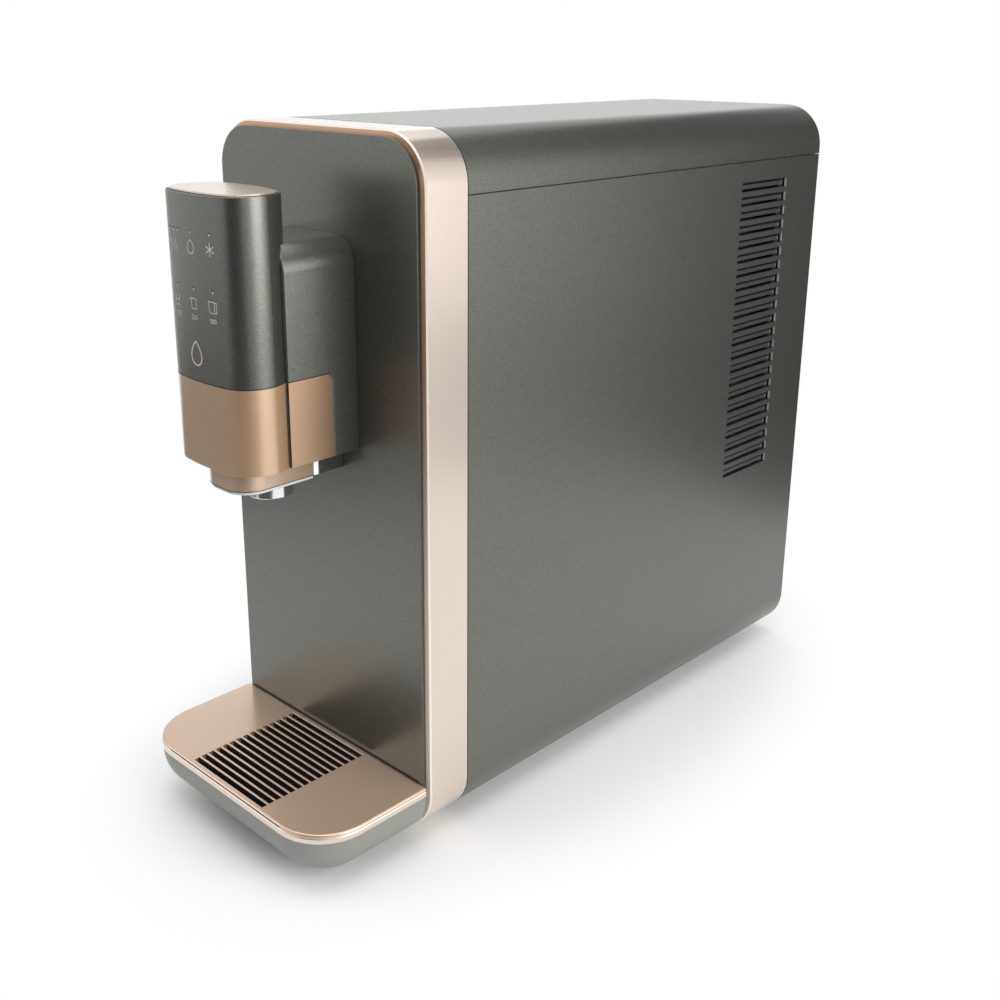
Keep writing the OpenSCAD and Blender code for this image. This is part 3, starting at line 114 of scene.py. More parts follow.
def fadeNode(tree, value, start, end):
    # 0 at the start, 1 at the end, with a soft run between
    fade = tree.nodes.new("ShaderNodeMapRange")
    fade.interpolation_type = "SMOOTHSTEP"
    fade.inputs["From Min"].default_value = start
    fade.inputs["From Max"].default_value = end
    tree.links.new(value, fade.inputs["Value"])
    return fade.outputs["Result"]


def aboutZero(tree, value):
    # noise between 0 and 1 becomes a swing to both sides of 0
    return mathNode(tree, "SUBTRACT", value, 0.5)


def sendTone(group, gin, gout, level):
    # the tone leaves the group lighter or darker by the level
    tint = group.nodes.new("ShaderNodeVectorMath")
    tint.operation = "SCALE"
    group.links.new(gin.outputs["Tone"], tint.inputs[0])
    group.links.new(level, tint.inputs["Scale"])
    group.links.new(tint.outputs[0], gout.inputs["Tone"])


def flakeCoat():
    # tiny facets that vary in tone and gloss, over a slow drift of the colour
    group, gin, gout = startGroup(
        "flakeCoat",
        [("Tone", "NodeSocketColor", (0.2, 0.2, 0.2, 1)), ("Facets", "NodeSocketFloat", 2200.0),
         ("Sparkle", "NodeSocketFloat", 0.2), ("Drift", "NodeSocketFloat", 0.05),
         ("Gloss", "NodeSocketFloat", 0.35)],
        [("Tone", "NodeSocketColor"), ("Roughness", "NodeSocketFloat"), ("Relief", "NodeSocketFloat")])
    link = group.links.new
    place = group.nodes.new("ShaderNodeTexCoord")
    cells = group.nodes.new("ShaderNodeTexVoronoi")
    link(place.outputs["Object"], cells.inputs["Vector"])
    link(gin.outputs["Facets"], cells.inputs["Scale"])
    split = group.nodes.new("ShaderNodeSeparateColor")
    link(cells.outputs["Color"], split.inputs[0])
    slow = put(group, "ShaderNodeTexNoise", Scale=11.0, Detail=2.0)
    link(place.outputs["Object"], slow.inputs["Vector"])
    spark = mathNode(group, "MULTIPLY", aboutZero(group, split.outputs[0]), gin.outputs["Sparkle"])
    sway = mathNode(group, "MULTIPLY", aboutZero(group, slow.outputs[0]), gin.outputs["Drift"])
    sendTone(group, gin, gout, mathNode(group, "ADD", mathNode(group, "ADD", spark, sway), 1.0))
    rough = mathNode(group, "ADD", gin.outputs["Gloss"], mathNode(group, "MULTIPLY", spark, 0.25))
    link(mathNode(group, "ADD", rough, sway), gout.inputs["Roughness"])
    link(split.outputs[1], gout.inputs["Relief"])
    return group


def fineGrain():
    # moulded or blasted skin: a fine even pebble with soft patches
    group, gin, gout = startGroup(
        "fineGrain",
        [("Tone", "NodeSocketColor", (0.2, 0.2, 0.2, 1)), ("Grain", "NodeSocketFloat", 1400.0),
         ("Contrast", "NodeSocketFloat", 0.08), ("Gloss", "NodeSocketFloat", 0.5)],
        [("Tone", "NodeSocketColor"), ("Roughness", "NodeSocketFloat"), ("Relief", "NodeSocketFloat")])
    link = group.links.new
    place = group.nodes.new("ShaderNodeTexCoord")
    pebble = put(group, "ShaderNodeTexNoise", Detail=3.0, Roughness=0.6)
    link(place.outputs["Object"], pebble.inputs["Vector"])
    link(gin.outputs["Grain"], pebble.inputs["Scale"])
    patch = put(group, "ShaderNodeTexNoise", Scale=18.0, Detail=3.0)
    link(place.outputs["Object"], patch.inputs["Vector"])
    both = mathNode(group, "ADD", aboutZero(group, pebble.outputs[0]), aboutZero(group, patch.outputs[0]))
    swing = mathNode(group, "MULTIPLY", both, gin.outputs["Contrast"])
    sendTone(group, gin, gout, mathNode(group, "ADD", swing, 1.0))
    link(mathNode(group, "ADD", gin.outputs["Gloss"], swing), gout.inputs["Roughness"])
    link(pebble.outputs[0], gout.inputs["Relief"])
    return group


def drawnGrain():
    # long hair lines of rolled, drawn or brushed metal, which run along the stretched axis
    group, gin, gout = startGroup(
        "drawnGrain",
        [("Tone", "NodeSocketColor", (0.6, 0.6, 0.6, 1)), ("Stretch", "NodeSocketVector", (1.0, 1.0, 0.03)),
         ("Lines", "NodeSocketFloat", 1500.0), ("Contrast", "NodeSocketFloat", 0.15),
         ("Gloss", "NodeSocketFloat", 0.3)],
        [("Tone", "NodeSocketColor"), ("Roughness", "NodeSocketFloat"), ("Relief", "NodeSocketFloat")])
    link = group.links.new
    place = group.nodes.new("ShaderNodeTexCoord")
    pull = group.nodes.new("ShaderNodeVectorMath")
    pull.operation = "MULTIPLY"
    link(place.outputs["Object"], pull.inputs[0])
    link(gin.outputs["Stretch"], pull.inputs[1])
    hair = put(group, "ShaderNodeTexNoise", Detail=2.0)
    link(pull.outputs[0], hair.inputs["Vector"])
    link(gin.outputs["Lines"], hair.inputs["Scale"])
    swing = mathNode(group, "MULTIPLY", aboutZero(group, hair.outputs[0]), gin.outputs["Contrast"])
    sendTone(group, gin, gout, mathNode(group, "ADD", swing, 1.0))
    link(mathNode(group, "ADD", gin.outputs["Gloss"], swing), gout.inputs["Roughness"])
    link(hair.outputs[0], gout.inputs["Relief"])
    return group


groups = {"flake": flakeCoat(), "grain": fineGrain(), "drawn": drawnGrain()}
print("shader groups made:", len(groups))


finishes = {}


def finish(name, kind, tone, relief=0.00002, metallic=0.0, shader=None, **values):
    # one material: its group drives colour, roughness and a faint bump
    material = bpy.data.materials.new(name)
    material.use_nodes = True
    tree = material.node_tree
    skin = tree.nodes["Principled BSDF"]
    skin.inputs["Metallic"].default_value = metallic
    for label, value in (shader or {}).items():
        skin.inputs[label].default_value = value
    box = tree.nodes.new("ShaderNodeGroup")
    box.node_tree = groups[kind]
    box.inputs["Tone"].default_value = (*tone, 1)
    for label, value in values.items():
        box.inputs[label].default_value = value
    tree.links.new(box.outputs["Tone"], skin.inputs["Base Color"])
    tree.links.new(box.outputs["Roughness"], skin.inputs["Roughness"])
    if relief:
        bump = put(tree, "ShaderNodeBump", Strength=0.35, Distance=relief)
        tree.links.new(box.outputs["Relief"], bump.inputs["Height"])
        tree.links.new(bump.outputs[0], skin.inputs["Normal"])
    finishes[name] = material


satin = {"Facets": 3000.0, "Drift": 0.02}
finish("greyCoat", "flake", (0.16, 0.163, 0.145), metallic=0.85, Facets=2300.0, Sparkle=0.4, Drift=0.0,
       Gloss=0.33, shader={"Coat Weight": 0.12, "Coat Roughness": 0.25})
finish("roseGold", "flake", (0.53, 0.335, 0.195), metallic=0.4, **satin, Sparkle=0.1, Gloss=0.34,
       shader={"Coat Weight": 1.0, "Coat Roughness": 0.18, "Coat IOR": 2.1})
finish("roseLip", "flake", (0.6, 0.35, 0.22), relief=0, **satin, Sparkle=0.05, Gloss=0.3,
       shader={"Coat Weight": 0.6, "Coat Roughness": 0.2, "Coat IOR": 1.5})
# a pale tone on the band's outer corner that paints its highlight
finish("roseEdge", "flake", (0.95, 0.86, 0.78), relief=0, metallic=0.25, **satin, Sparkle=0.05, Gloss=0.3)
finish("rosePlate", "flake", (0.57, 0.37, 0.24), metallic=0.95, **satin, Sparkle=0.1, Gloss=0.34,
       shader={"Coat Weight": 0.6, "Coat Roughness": 0.2, "Coat IOR": 1.5})
finish("roseCap", "flake", (0.5, 0.41, 0.34), metallic=0.6, **satin, Sparkle=0.08, Gloss=0.28,
       shader={"Coat Weight": 0.4, "Coat Roughness": 0.15, "Coat IOR": 1.5})
finish("roseTray", "flake", (0.6, 0.42, 0.295), metallic=0.6, **satin, Sparkle=0.1, Gloss=0.3,
       shader={"Coat Weight": 1.0, "Coat Roughness": 0.14, "Coat IOR": 1.75})
finish("roseBand", "flake", (0.74, 0.625, 0.53), metallic=0.9, **satin, Sparkle=0.08, Gloss=0.26,
       shader={"Coat Weight": 1.0, "Coat Roughness": 0.14, "Coat IOR": 1.7})
finish("trayGrey", "grain", (0.27, 0.275, 0.25), metallic=0.35, Grain=1600.0, Contrast=0.08, Gloss=0.4)
# near black for black plastic and dark joints, and also the painted shade in the vent and grille slots, the
# basin and the neck plates' joint
finish("seamBlack", "grain", (0.012, 0.012, 0.012), Grain=1200.0, Contrast=0.15, Gloss=0.6)
finish("softRubber", "grain", (0.02, 0.02, 0.02), Grain=900.0, Contrast=0.25, Gloss=0.8)
finish("brightChrome", "drawn", (0.86, 0.87, 0.88), relief=0, metallic=1.0, Contrast=0.05, Gloss=0.09)
finish("ringResin", "grain", (0.88, 0.9, 0.89), relief=0, Grain=300.0, Contrast=0.04, Gloss=0.08,
       shader={"Transmission Weight": 0.3, "IOR": 1.49})
# the clear strip glows faintly, a painted glow that keeps it bright
finish("stripResin", "grain", (0.93, 0.95, 0.94), relief=0, Grain=300.0, Contrast=0.04, Gloss=0.15,
       shader={"Emission Color": (1, 1, 0.98, 1), "Emission Strength": 0.25})
# lighter greys that paint the highlights on the slots' rear edges and the blades' ends
finish("ventEdge", "grain", (0.42, 0.42, 0.39), Grain=1200.0, Contrast=0.1, Gloss=0.4)
finish("ventHook", "grain", (0.2, 0.2, 0.185), Grain=1200.0, Contrast=0.1, Gloss=0.4)
finish("clearResin", "grain", (0.93, 0.95, 0.95), relief=0, Grain=300.0, Contrast=0.04, Gloss=0.08,
       shader={"Transmission Weight": 0.75, "IOR": 1.49})
finish("zincSheet", "flake", (0.55, 0.56, 0.57), metallic=1.0, Facets=90.0, Sparkle=0.18, Drift=0.1,
       Gloss=0.36)
finish("whitePlastic", "grain", (0.78, 0.78, 0.75), Grain=1100.0, Contrast=0.05, Gloss=0.42)
finish("filterShell", "grain", (0.85, 0.87, 0.88), Grain=700.0, Contrast=0.03, Gloss=0.25)
finish("stainless", "drawn", (0.6, 0.6, 0.6), metallic=1.0, Stretch=(0.03, 1.0, 1.0), Contrast=0.2,
       Gloss=0.3)
finish("whiteFoam", "flake", (0.86, 0.86, 0.83), relief=0.0002, Facets=260.0, Sparkle=0.08, Drift=0.04,
       Gloss=0.85)
finish("copperTube", "drawn", (0.72, 0.33, 0.2), metallic=1.0, Stretch=(1.0, 0.05, 1.0), Contrast=0.2,
       Gloss=0.28)
finish("finAluminium", "drawn", (0.75, 0.76, 0.77), metallic=1.0, Stretch=(1.0, 1.0, 0.04), Contrast=0.2,
       Gloss=0.35)
finish("blackEnamel", "grain", (0.015, 0.015, 0.016), Grain=500.0, Contrast=0.12, Gloss=0.22)
finish("boardGreen", "grain", (0.02, 0.16, 0.06), Grain=800.0, Contrast=0.2, Gloss=0.35)
finish("tubeBlue", "grain", (0.55, 0.7, 0.82), Grain=300.0, Contrast=0.04, Gloss=0.3)
finish("tubeDark", "grain", (0.05, 0.05, 0.055), Grain=300.0, Contrast=0.1, Gloss=0.35)
finish("collarBlue", "grain", (0.04, 0.16, 0.5), Grain=900.0, Contrast=0.06, Gloss=0.35)
finish("rockerRed", "grain", (0.45, 0.02, 0.015), Grain=900.0, Contrast=0.05, Gloss=0.25)
finish("rockerBlue", "grain", (0.02, 0.07, 0.35), Grain=900.0, Contrast=0.05, Gloss=0.25)
finish("paleInk", "grain", (0.82, 0.77, 0.7), relief=0, Grain=2500.0, Contrast=0.06, Gloss=0.5)
finish("roseInk", "flake", (0.9, 0.74, 0.63), relief=0, metallic=0.6, Facets=4000.0, Sparkle=0.1,
       Drift=0.02, Gloss=0.3)

# painted reflection: the lip mirrors the dark head above and the pale worktop below, which is given here as
# a change of tone and metal with height
lipPaintedReflection = {"dark": 0.31, "pale": 0.13, "tone": (1.0, 0.85, 0.71, 1), "metallic": 0.8}
tree = finishes["roseLip"].node_tree
skin = tree.nodes["Principled BSDF"]
split = tree.nodes.new("ShaderNodeSeparateXYZ")
tree.links.new(tree.nodes.new("ShaderNodeTexCoord").outputs["Object"], split.inputs[0])
fade = fadeNode(tree, split.outputs["Z"], lipPaintedReflection["dark"], lipPaintedReflection["pale"])
blend = tree.nodes.new("ShaderNodeMix")
blend.data_type = "RGBA"
tree.links.new(fade, blend.inputs[0])
tree.links.new(skin.inputs["Base Color"].links[0].from_socket, blend.inputs[6])
blend.inputs[7].default_value = lipPaintedReflection["tone"]
tree.links.new(blend.outputs[2], skin.inputs["Base Color"])
bare = mathNode(tree, "SUBTRACT", 1.0, fade)
tree.links.new(mathNode(tree, "MULTIPLY", bare, lipPaintedReflection["metallic"]), skin.inputs["Metallic"])

slotFinish = {
    "grey_coat": "greyCoat", "rose_gold": "roseGold", "tray_grey": "trayGrey",
    "black_plastic": "seamBlack", "fan_plastic": "seamBlack", "rubber": "softRubber",
    "clear_plastic": "clearResin", "chrome_trim": "brightChrome", "zinc_sheet": "zincSheet",
    "white_plastic": "whitePlastic", "filter_shell": "filterShell", "steel": "stainless",
    "foam": "whiteFoam", "copper": "copperTube", "alu_fins": "finAluminium", "black_enamel": "blackEnamel",
    "board_green": "boardGreen", "tube_blue": "tubeBlue", "tube_dark": "tubeDark",
    "collar_blue": "collarBlue", "rocker_red": "rockerRed", "rocker_blue": "rockerBlue",
}
for name, node in nodes.items():
    node.data.materials.clear()
    node.data.materials.append(finishes[slotFinish[slotOf[name]]])
print("finishes made:", len(finishes))


def asPiece(name, bm, finishName, body, edge=0.0, segments=2, sharp=38, wall=0.0):
    # a finished object from a bmesh, with its wall, edge rounding and body
    mesh = bpy.data.meshes.new(name)
    bm.to_mesh(mesh)
    bm.free()
    mesh.materials.append(finishes[finishName])
    piece = bpy.data.objects.new(name, mesh)
    bpy.context.scene.collection.objects.link(piece)
    mesh.shade_smooth()
    if wall:
        skin = piece.modifiers.new("wall", "SOLIDIFY")
        skin.thickness = wall
        skin.offset = 0
    if edge:
        rim = piece.modifiers.new("rim", "BEVEL")
        rim.width = edge
        rim.segments = segments
        rim.limit_method = "ANGLE"
        rim.angle_limit = math.radians(sharp)
        rim.harden_normals = True
        rim.use_clamp_overlap = True
    even = piece.modifiers.new("even", "WEIGHTED_NORMAL")
    even.keep_sharp = True
    if not edge:
        mesh.set_sharp_from_angle(angle=math.radians(sharp))
    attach(piece, body)
    return piece


# in metres: corners nearer to each other than this become one
weld = {"solid": 0.000002, "stroke": 0.000005, "letter": 0.000001}


def roundShell(node, edge, segments=2, finishName=None):
    # the node's own solid with its loose triangles joined and its edges rounded
    bm = bmesh.new()
    bm.from_mesh(nodes[node].data)
    bmesh.ops.remove_doubles(bm, verts=bm.verts, dist=weld["solid"])
    bmesh.ops.dissolve_limit(bm, angle_limit=math.radians(0.3), verts=bm.verts, edges=bm.edges)
    reshape(node, bm)
    if node in bigRounds:
        rounding = bigRounds[node]
        rims = [e for e in bm.edges if e.is_manifold and e.calc_face_angle(0) > 1.0
                and all(rounding["where"](v.co) for v in e.verts)]
        bmesh.ops.bevel(bm, geom=rims, offset=rounding["radius"], offset_type="OFFSET", profile=0.5,
                        segments=rounding["steps"], affect="EDGES", clamp_overlap=True, material=-1)
    first, *others = node.split("_")
    pieceName = first + "".join(word.capitalize() for word in others) + "Shell"
    piece = asPiece(pieceName, bm, finishName or slotFinish[slotOf[node]], nodes[node]["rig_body"],
                    edge, segments)
    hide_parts(node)
    return piece


# sizes in metres, as everywhere below apart from the marks
vents = {"count": 22, "pitch": 0.0092, "high": 0.0058,
         "bladeFace": 0.0014, "bladeKeep": 0.72, "bladeSag": 0.0001}
grille = {"halfWide": 0.0331}
headRim = baseZ + 0.3605
# the panel's front edge stands over its side wall, but not round the neck, which the limits leave out
panel = {"grow": 0.0014, "neckHalf": 0.045, "above": 0.36, "below": 0.02}
ventLow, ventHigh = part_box("vent_louvre_right")
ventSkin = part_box("side_panel_right")[1][0]
ventTop = ventHigh[2] - 0.002
ventBack = ventHigh[1] + 0.0002
trayLow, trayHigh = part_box("drip_tray")
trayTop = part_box("tray_cover")[1][2]
panelLow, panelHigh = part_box("front_panel")


def slotMiddle(k):
    return ventTop - vents["high"] / 2 - k * vents["pitch"]


def reshape(node, bm):
    # small changes of form that the bare solids leave out
    if node.startswith("vent_louvre"):
        for v in bm.verts:
            if abs(v.co.x) > ventSkin - vents["bladeFace"]:
                middle = slotMiddle(round((slotMiddle(0) - v.co.z) / vents["pitch"]))
                v.co.z = middle + (v.co.z - middle) * vents["bladeKeep"] - vents["bladeSag"]
    if node == "front_panel":
        middle = (panelLow[2] + panelHigh[2]) / 2
        low, high = baseZ + panel["below"], baseZ + panel["above"]
        for v in bm.verts:
            outer = abs(v.co.x) > panel["neckHalf"] or not low <= v.co.z <= high
            if v.co.y < faceY + 0.0001 and outer:
                v.co.x *= 1 + panel["grow"] / panelHigh[0]
                v.co.z = middle + (v.co.z - middle) * (1 + panel["grow"] / (panelHigh[2] - middle))


def onHeadRim(co):
    return co.z > headRim


def onGrilleTop(co):
    return abs(co.x) < grille["halfWide"] and co.z > trayTop - 0.00002


# larger rounds on the outer rim of a few pieces
bigRounds = {
    "head_front_cover": {"radius": 0.0008, "steps": 3, "where": onHeadRim},
    "head_rear_cover": {"radius": 0.0008, "steps": 3, "where": onHeadRim},
    "tray_cover": {"radius": 0.0003, "steps": 3, "where": onGrilleTop},
}
shellEdges = {
    "side_panel_right": 0.0003, "side_panel_left": 0.0003, "top_cover": 0.0004, "front_bezel": 0.0008,
    "front_panel": 0.0003, "neck_housing": 0.0008, "neck_plate_right": 0.00015, "neck_plate_left": 0.00015,
    "head_front_cover": 0.0003, "head_rear_cover": 0.0003, "head_sleeve": 0.00015, "head_cap": 0.0004,
    "nozzle_step": 0.0004, "nozzle_strip": 0.0003, "nozzle_block": 0.0004, "nozzle_ring": 0.0004,
    "drip_tray": 0.0004, "tray_rim": 0.0003, "tray_cover": 0.0003, "rear_panel": 0.0003,
    "vent_louvre_right": 0.0003, "vent_louvre_left": 0.0003, "feet": 0.0008, "base_pan": 0.0004,
    "switch_housing": 0.0005, "hot_rocker": 0.0004, "cold_rocker": 0.0004, "inlet_fitting": 0.0004,
    "drain_fitting": 0.0004, "inlet_collar": 0.0002, "drain_collar": 0.0002,
}
shellFinish = {
    "front_bezel": "roseBand", "head_cap": "roseCap", "neck_plate_right": "rosePlate",
    "neck_plate_left": "rosePlate", "tray_cover": "roseTray", "tray_rim": "roseBand",
    "nozzle_step": "roseTray", "nozzle_ring": "ringResin", "nozzle_strip": "stripResin",
}
shellSteps = {"front_bezel": 3, "tray_cover": 3}
shells = {}
for node, edge in shellEdges.items():
    shells[node] = roundShell(node, edge, shellSteps.get(node, 2), shellFinish.get(node))


def paintFaces(node, finishName, where):
    # another finish on the faces that where() picks by centre and normal
    mesh = shells[node].data
    mesh.materials.append(finishes[finishName])
    picked = [face for face in mesh.polygons if where(face.center, face.normal)]
    for face in picked:
        face.material_index = len(mesh.materials) - 1
    print("faces painted", node, finishName, len(picked))


# faces inside the vent slots, which are painted near black as painted shade
def inVents(co, no):
    across = ventLow[1] < co.y < ventHigh[1] + 0.001 and ventLow[2] - 0.002 < co.z < ventHigh[2] + 0.002
    return abs(no.x) < 0.3 and abs(co.x) > ventSkin - 0.003 and across


# the blades' hidden faces and the rail behind them, painted near black as painted shade
def insideBlade(co, no):
    return abs(no.x) < 0.9 or abs(co.x) < ventSkin - 0.0015


trayMiddle = Vector((0, (trayLow[1] + trayHigh[1]) / 2, 0))


# the basin's inside under the grille, painted near black as painted shade
def inBasin(co, no):
    inward = (trayMiddle - co).to_2d().dot(no.to_2d()) > 0
    return co.z < trayHigh[2] - 0.002 and (no.z > 0.5 or abs(no.z) < 0.5 and inward)


# the walls of the grille's slots, painted near black as painted shade
def inGrilleSlot(co, no):
    return abs(no.y) > 0.9 and abs(co.x) < grille["halfWide"] and co.z < trayTop - 0.0003


paintFaces("front_bezel", "roseLip", lambda co, no: no.y < -0.8)  # the narrow lip that frames the panel
# painted highlight on the outer corner of the lip
paintFaces("front_bezel", "roseEdge", lambda co, no: -0.8 < no.y < -0.2)  # and its bright outer corner
for side in ("right", "left"):
    # painted shade inside the vent slots and on the blades
    paintFaces("side_panel_" + side, "seamBlack", inVents)
    shells["vent_louvre_" + side].data.materials[0] = finishes["greyCoat"]
    paintFaces("vent_louvre_" + side, "seamBlack", insideBlade)
    # the neck plates' front edges are painted near black as painted shade in the joint with the sleeve
    paintFaces("neck_plate_" + side, "seamBlack", lambda co, no: no.y < -0.5)
# painted shade inside the basin
paintFaces("drip_tray", "seamBlack", inBasin)
# painted shade inside the grille's slots
paintFaces("tray_cover", "seamBlack", inGrilleSlot)
print("rounded shells:", len(shells))


# fine dark joints between the shells
def seamLine(name, node, place, along, width):
    # the node's outline at one plane, drawn out into a thin dark strip
    bm = bmesh.new()
    bm.from_mesh(nodes[node].data)
    bmesh.ops.remove_doubles(bm, verts=bm.verts, dist=weld["solid"])
    bmesh.ops.bisect_plane(bm, geom=bm.verts[:] + bm.edges[:] + bm.faces[:], plane_co=place, plane_no=along,
                           clear_inner=True, clear_outer=True)
    bmesh.ops.dissolve_limit(bm, angle_limit=math.radians(0.2), verts=bm.verts, edges=bm.edges)
    drawn = bmesh.ops.extrude_edge_only(bm, edges=bm.edges)["geom"]
    corners = [v for v in drawn if isinstance(v, bmesh.types.BMVert)]
    bmesh.ops.translate(bm, verts=corners, vec=Vector(along) * width)
    bmesh.ops.recalc_face_normals(bm, faces=bm.faces)
    asPiece(name, bm, "seamBlack", "case", wall=0.00012)


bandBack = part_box("front_bezel")[1][1]
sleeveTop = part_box("head_sleeve")[1][2]
coverBack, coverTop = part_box("head_front_cover")[1][1:]
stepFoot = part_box("nozzle_step")[0][2]
back, upward = (0, 1, 0), (0, 0, 1)
seams = {
    "bandSeam": {"node": "front_bezel", "along": back, "width": 0.0007,
                 "place": (0, bandBack - 0.0001, 0)},
    "sleeveSeam": {"node": "head_sleeve", "along": upward, "width": 0.0006,
                   "place": (0, 0, sleeveTop - 0.0001)},
    "capSeam": {"node": "head_cap", "along": upward, "width": 0.0003,
                "place": (0, 0, coverTop + 0.00002)},
    "coverSeam": {"node": "head_front_cover", "along": back, "width": 0.0005,
                  "place": (0, coverBack - 0.0001, 0)},
    "stepSeam": {"node": "nozzle_step", "along": upward, "width": 0.0004,
                 "place": (0, 0, stepFoot + 0.0001)},
}
for name, seam in seams.items():
    seamLine(name, **seam)


def addBar(bm, low, high):
    bar = bmesh.ops.create_cube(bm, size=1.0)["verts"]
    for v in bar:
        v.co = Vector(tuple(low[i] + (v.co[i] + 0.5) * (high[i] - low[i]) for i in range(3)))


# a thin dark foot on the panel where the tray meets it
foot = {"halfWide": 0.0765, "proud": 0.0003, "sunk": 0.0002, "tall": 0.0011, "lift": 0.0001}
footLow = trayTop + foot["lift"]
bm = bmesh.new()
addBar(bm, (-foot["halfWide"], faceY - foot["proud"], footLow),
       (foot["halfWide"], faceY + foot["sunk"], footLow + foot["tall"]))
asPiece("panelFoot", bm, "seamBlack", "case", edge=0.0001)

# painted highlights on the rear edge of each slot and on the rear end of each blade, and a dark board
# behind the rail that paints shade into the slots,
# each from one corner to the other: across from the skin, along from the slot's rear end,
# and up from the slot's middle
slotBars = {
    "Edges": {"finish": "ventEdge", "across": (-0.0012, -0.00002), "along": (-0.00012, 0.0001),
              "up": (-0.0026, 0.0026)},
    "Hooks": {"finish": "ventHook", "across": (-0.0013, -0.0011), "along": (-0.004, -0.0033),
              "up": (-0.0011, 0.0007)},
    "Stop": {"finish": "seamBlack", "across": (-0.005, -0.0026), "along": (0.0004, 0.0024), "up": None},
}
for side, sign in (("Right", 1), ("Left", -1)):
    for label, bars in slotBars.items():
        bm = bmesh.new()
        levels = [(ventLow[2], ventHigh[2])]
        if bars["up"]:
            levels = [[slotMiddle(k) + step for step in bars["up"]] for k in range(vents["count"])]
        for level in levels:
            ends = zip(bars["across"], bars["along"], level)
            addBar(bm, *((ventSkin + across, ventBack + along, z) for across, along, z in ends))
        if sign < 0:
            bmesh.ops.scale(bm, verts=bm.verts, vec=(-1, 1, 1))
            bmesh.ops.reverse_faces(bm, faces=bm.faces)
        asPiece("vent" + label + side, bm, bars["finish"], "case", edge=0.00004)
print("joints drawn")


# marks on the head, in millimetres
headFace = {"frontY": -74.64, "radius": 133.0, "lift": 0.06}


def onHead(x, z, out=0.0):
    # a point of the flat drawing, bent onto the curved front of the head
    turn = x / headFace["radius"]
    reach = headFace["radius"] + headFace["lift"] + out
    return at(reach * math.sin(turn), headFace["frontY"] + headFace["radius"] - reach * math.cos(turn), z)


def thicken(bm, thickness):
    # flat ink gets a back and a rim
    bmesh.ops.recalc_face_normals(bm, faces=bm.faces)
    bmesh.ops.solidify(bm, geom=bm.faces, thickness=thickness)
    bmesh.ops.recalc_face_normals(bm, faces=bm.faces)


def dropPoints(cx, cz, wide, high, steps=40):
    # closed outline of a water drop, pointed at the top
    turns = [2 * math.pi * i / steps for i in range(steps)]
    belly = [0.62 * wide * math.sin(t) * abs(math.sin(t / 2)) ** 0.75 for t in turns]
    return [(cx + out, cz + high / 2 * math.cos(t)) for out, t in zip(belly, turns)]


def inkLines(name, strokes, width, finishName, closed=False):
    # strokes in millimetres on the head's front, drawn as flat ribbons
    bm = bmesh.new()
    for stroke in strokes:
        path = list(stroke) + ([stroke[0]] if closed else [])
        pairs = []
        for i, (x, z) in enumerate(path):
            before = path[i - 1] if i else (path[-2] if closed else path[0])
            after = path[i + 1] if i < len(path) - 1 else (path[1] if closed else path[-1])
            along = Vector((after[0] - before[0], after[1] - before[1])).normalized()
            side = Vector((-along.y, along.x)) * width / 2
            pairs.append([bm.verts.new(onHead(x + s * side.x, z + s * side.y)) for s in (-1, 1)])
        for a, b in zip(pairs, pairs[1:]):
            bm.faces.new((a[0], b[0], b[1], a[1]))
    bmesh.ops.remove_doubles(bm, verts=bm.verts, dist=weld["stroke"])
    thicken(bm, 0.00004)
    asPiece(name, bm, finishName, "case", sharp=60)


columns = (-16.1, -0.6, 14.5)
marks = {"lampRow": 342.8, "iconRow": 335.4, "cupLampRow": 314.9, "cupRow": 307.1,
         "numberRow": 300.2, "dropKey": 281.9}


def steamPoints(cx, cz, steps=12):
    # one rising wave about a middle line
    run = [i / steps for i in range(steps + 1)]
    return [(cx + 0.8 * math.sin(2 * math.pi * t), cz - 3.7 + 6.2 * t) for t in run]


steam = [steamPoints(columns[0] - 0.4 + shift, marks["iconRow"]) for shift in (-2.4, 0.0, 2.4)]
inkLines("hotMark", steam, 0.5, "paleInk")
inkLines("ambientMark", [dropPoints(columns[1], marks["iconRow"], 5.2, 6.7)], 0.5, "paleInk", closed=True)
flakeArms = []
for k in range(3):
    t = math.radians(30 + 60 * k)
    reach = 3.5 if k == 1 else 3.3
    dx, dz = reach * math.cos(t), reach * math.sin(t)
    flakeArms.append([(columns[2] + s * dx, marks["iconRow"] + s * dz) for s in (-1, 1)])
inkLines("coldMark", flakeArms, 0.5, "paleInk")

# three glasses, drawn about the middle of each key
glasses = [
    (columns[0] - 0.5, [[(-1.8, 2.6), (-1.6, -2.6), (1.8, -2.6), (1.8, 2.6)], [(-1.7, 0.2), (1.8, 0.2)]]),
    (columns[1] - 0.4, [[(-3.1, 2.7), (-2.2, 2.0), (-1.9, -2.5), (2.1, -2.5), (2.3, 2.5), (-3.1, 2.7)]]),
    (columns[2] - 0.3, [[(-3.2, 2.9), (-2.2, -2.7), (2.7, -2.7), (2.9, 2.6), (-3.2, 2.9)],
                        [(1.4, 2.6), (1.3, -2.7)]]),
]
cups = [[(x + dx, marks["cupRow"] + dz) for dx, dz in stroke]
        for x, strokes in glasses for stroke in strokes]
inkLines("cupMarks", cups, 0.45, "paleInk")
inkLines("dispenseMark", [dropPoints(-1.6, marks["dropKey"], 8.9, 12.2)], 0.85, "roseInk", closed=True)


def inkDots(name, spots, radius, finishName, lift=0.0):
    bm = bmesh.new()
    for x, z in spots:
        dot = bmesh.ops.create_circle(bm, cap_ends=True, segments=18, radius=radius)["verts"]
        for v in dot:
            v.co = onHead(x + v.co.x, z + v.co.y, lift)
    thicken(bm, 0.00005)
    asPiece(name, bm, finishName, "case", sharp=60)


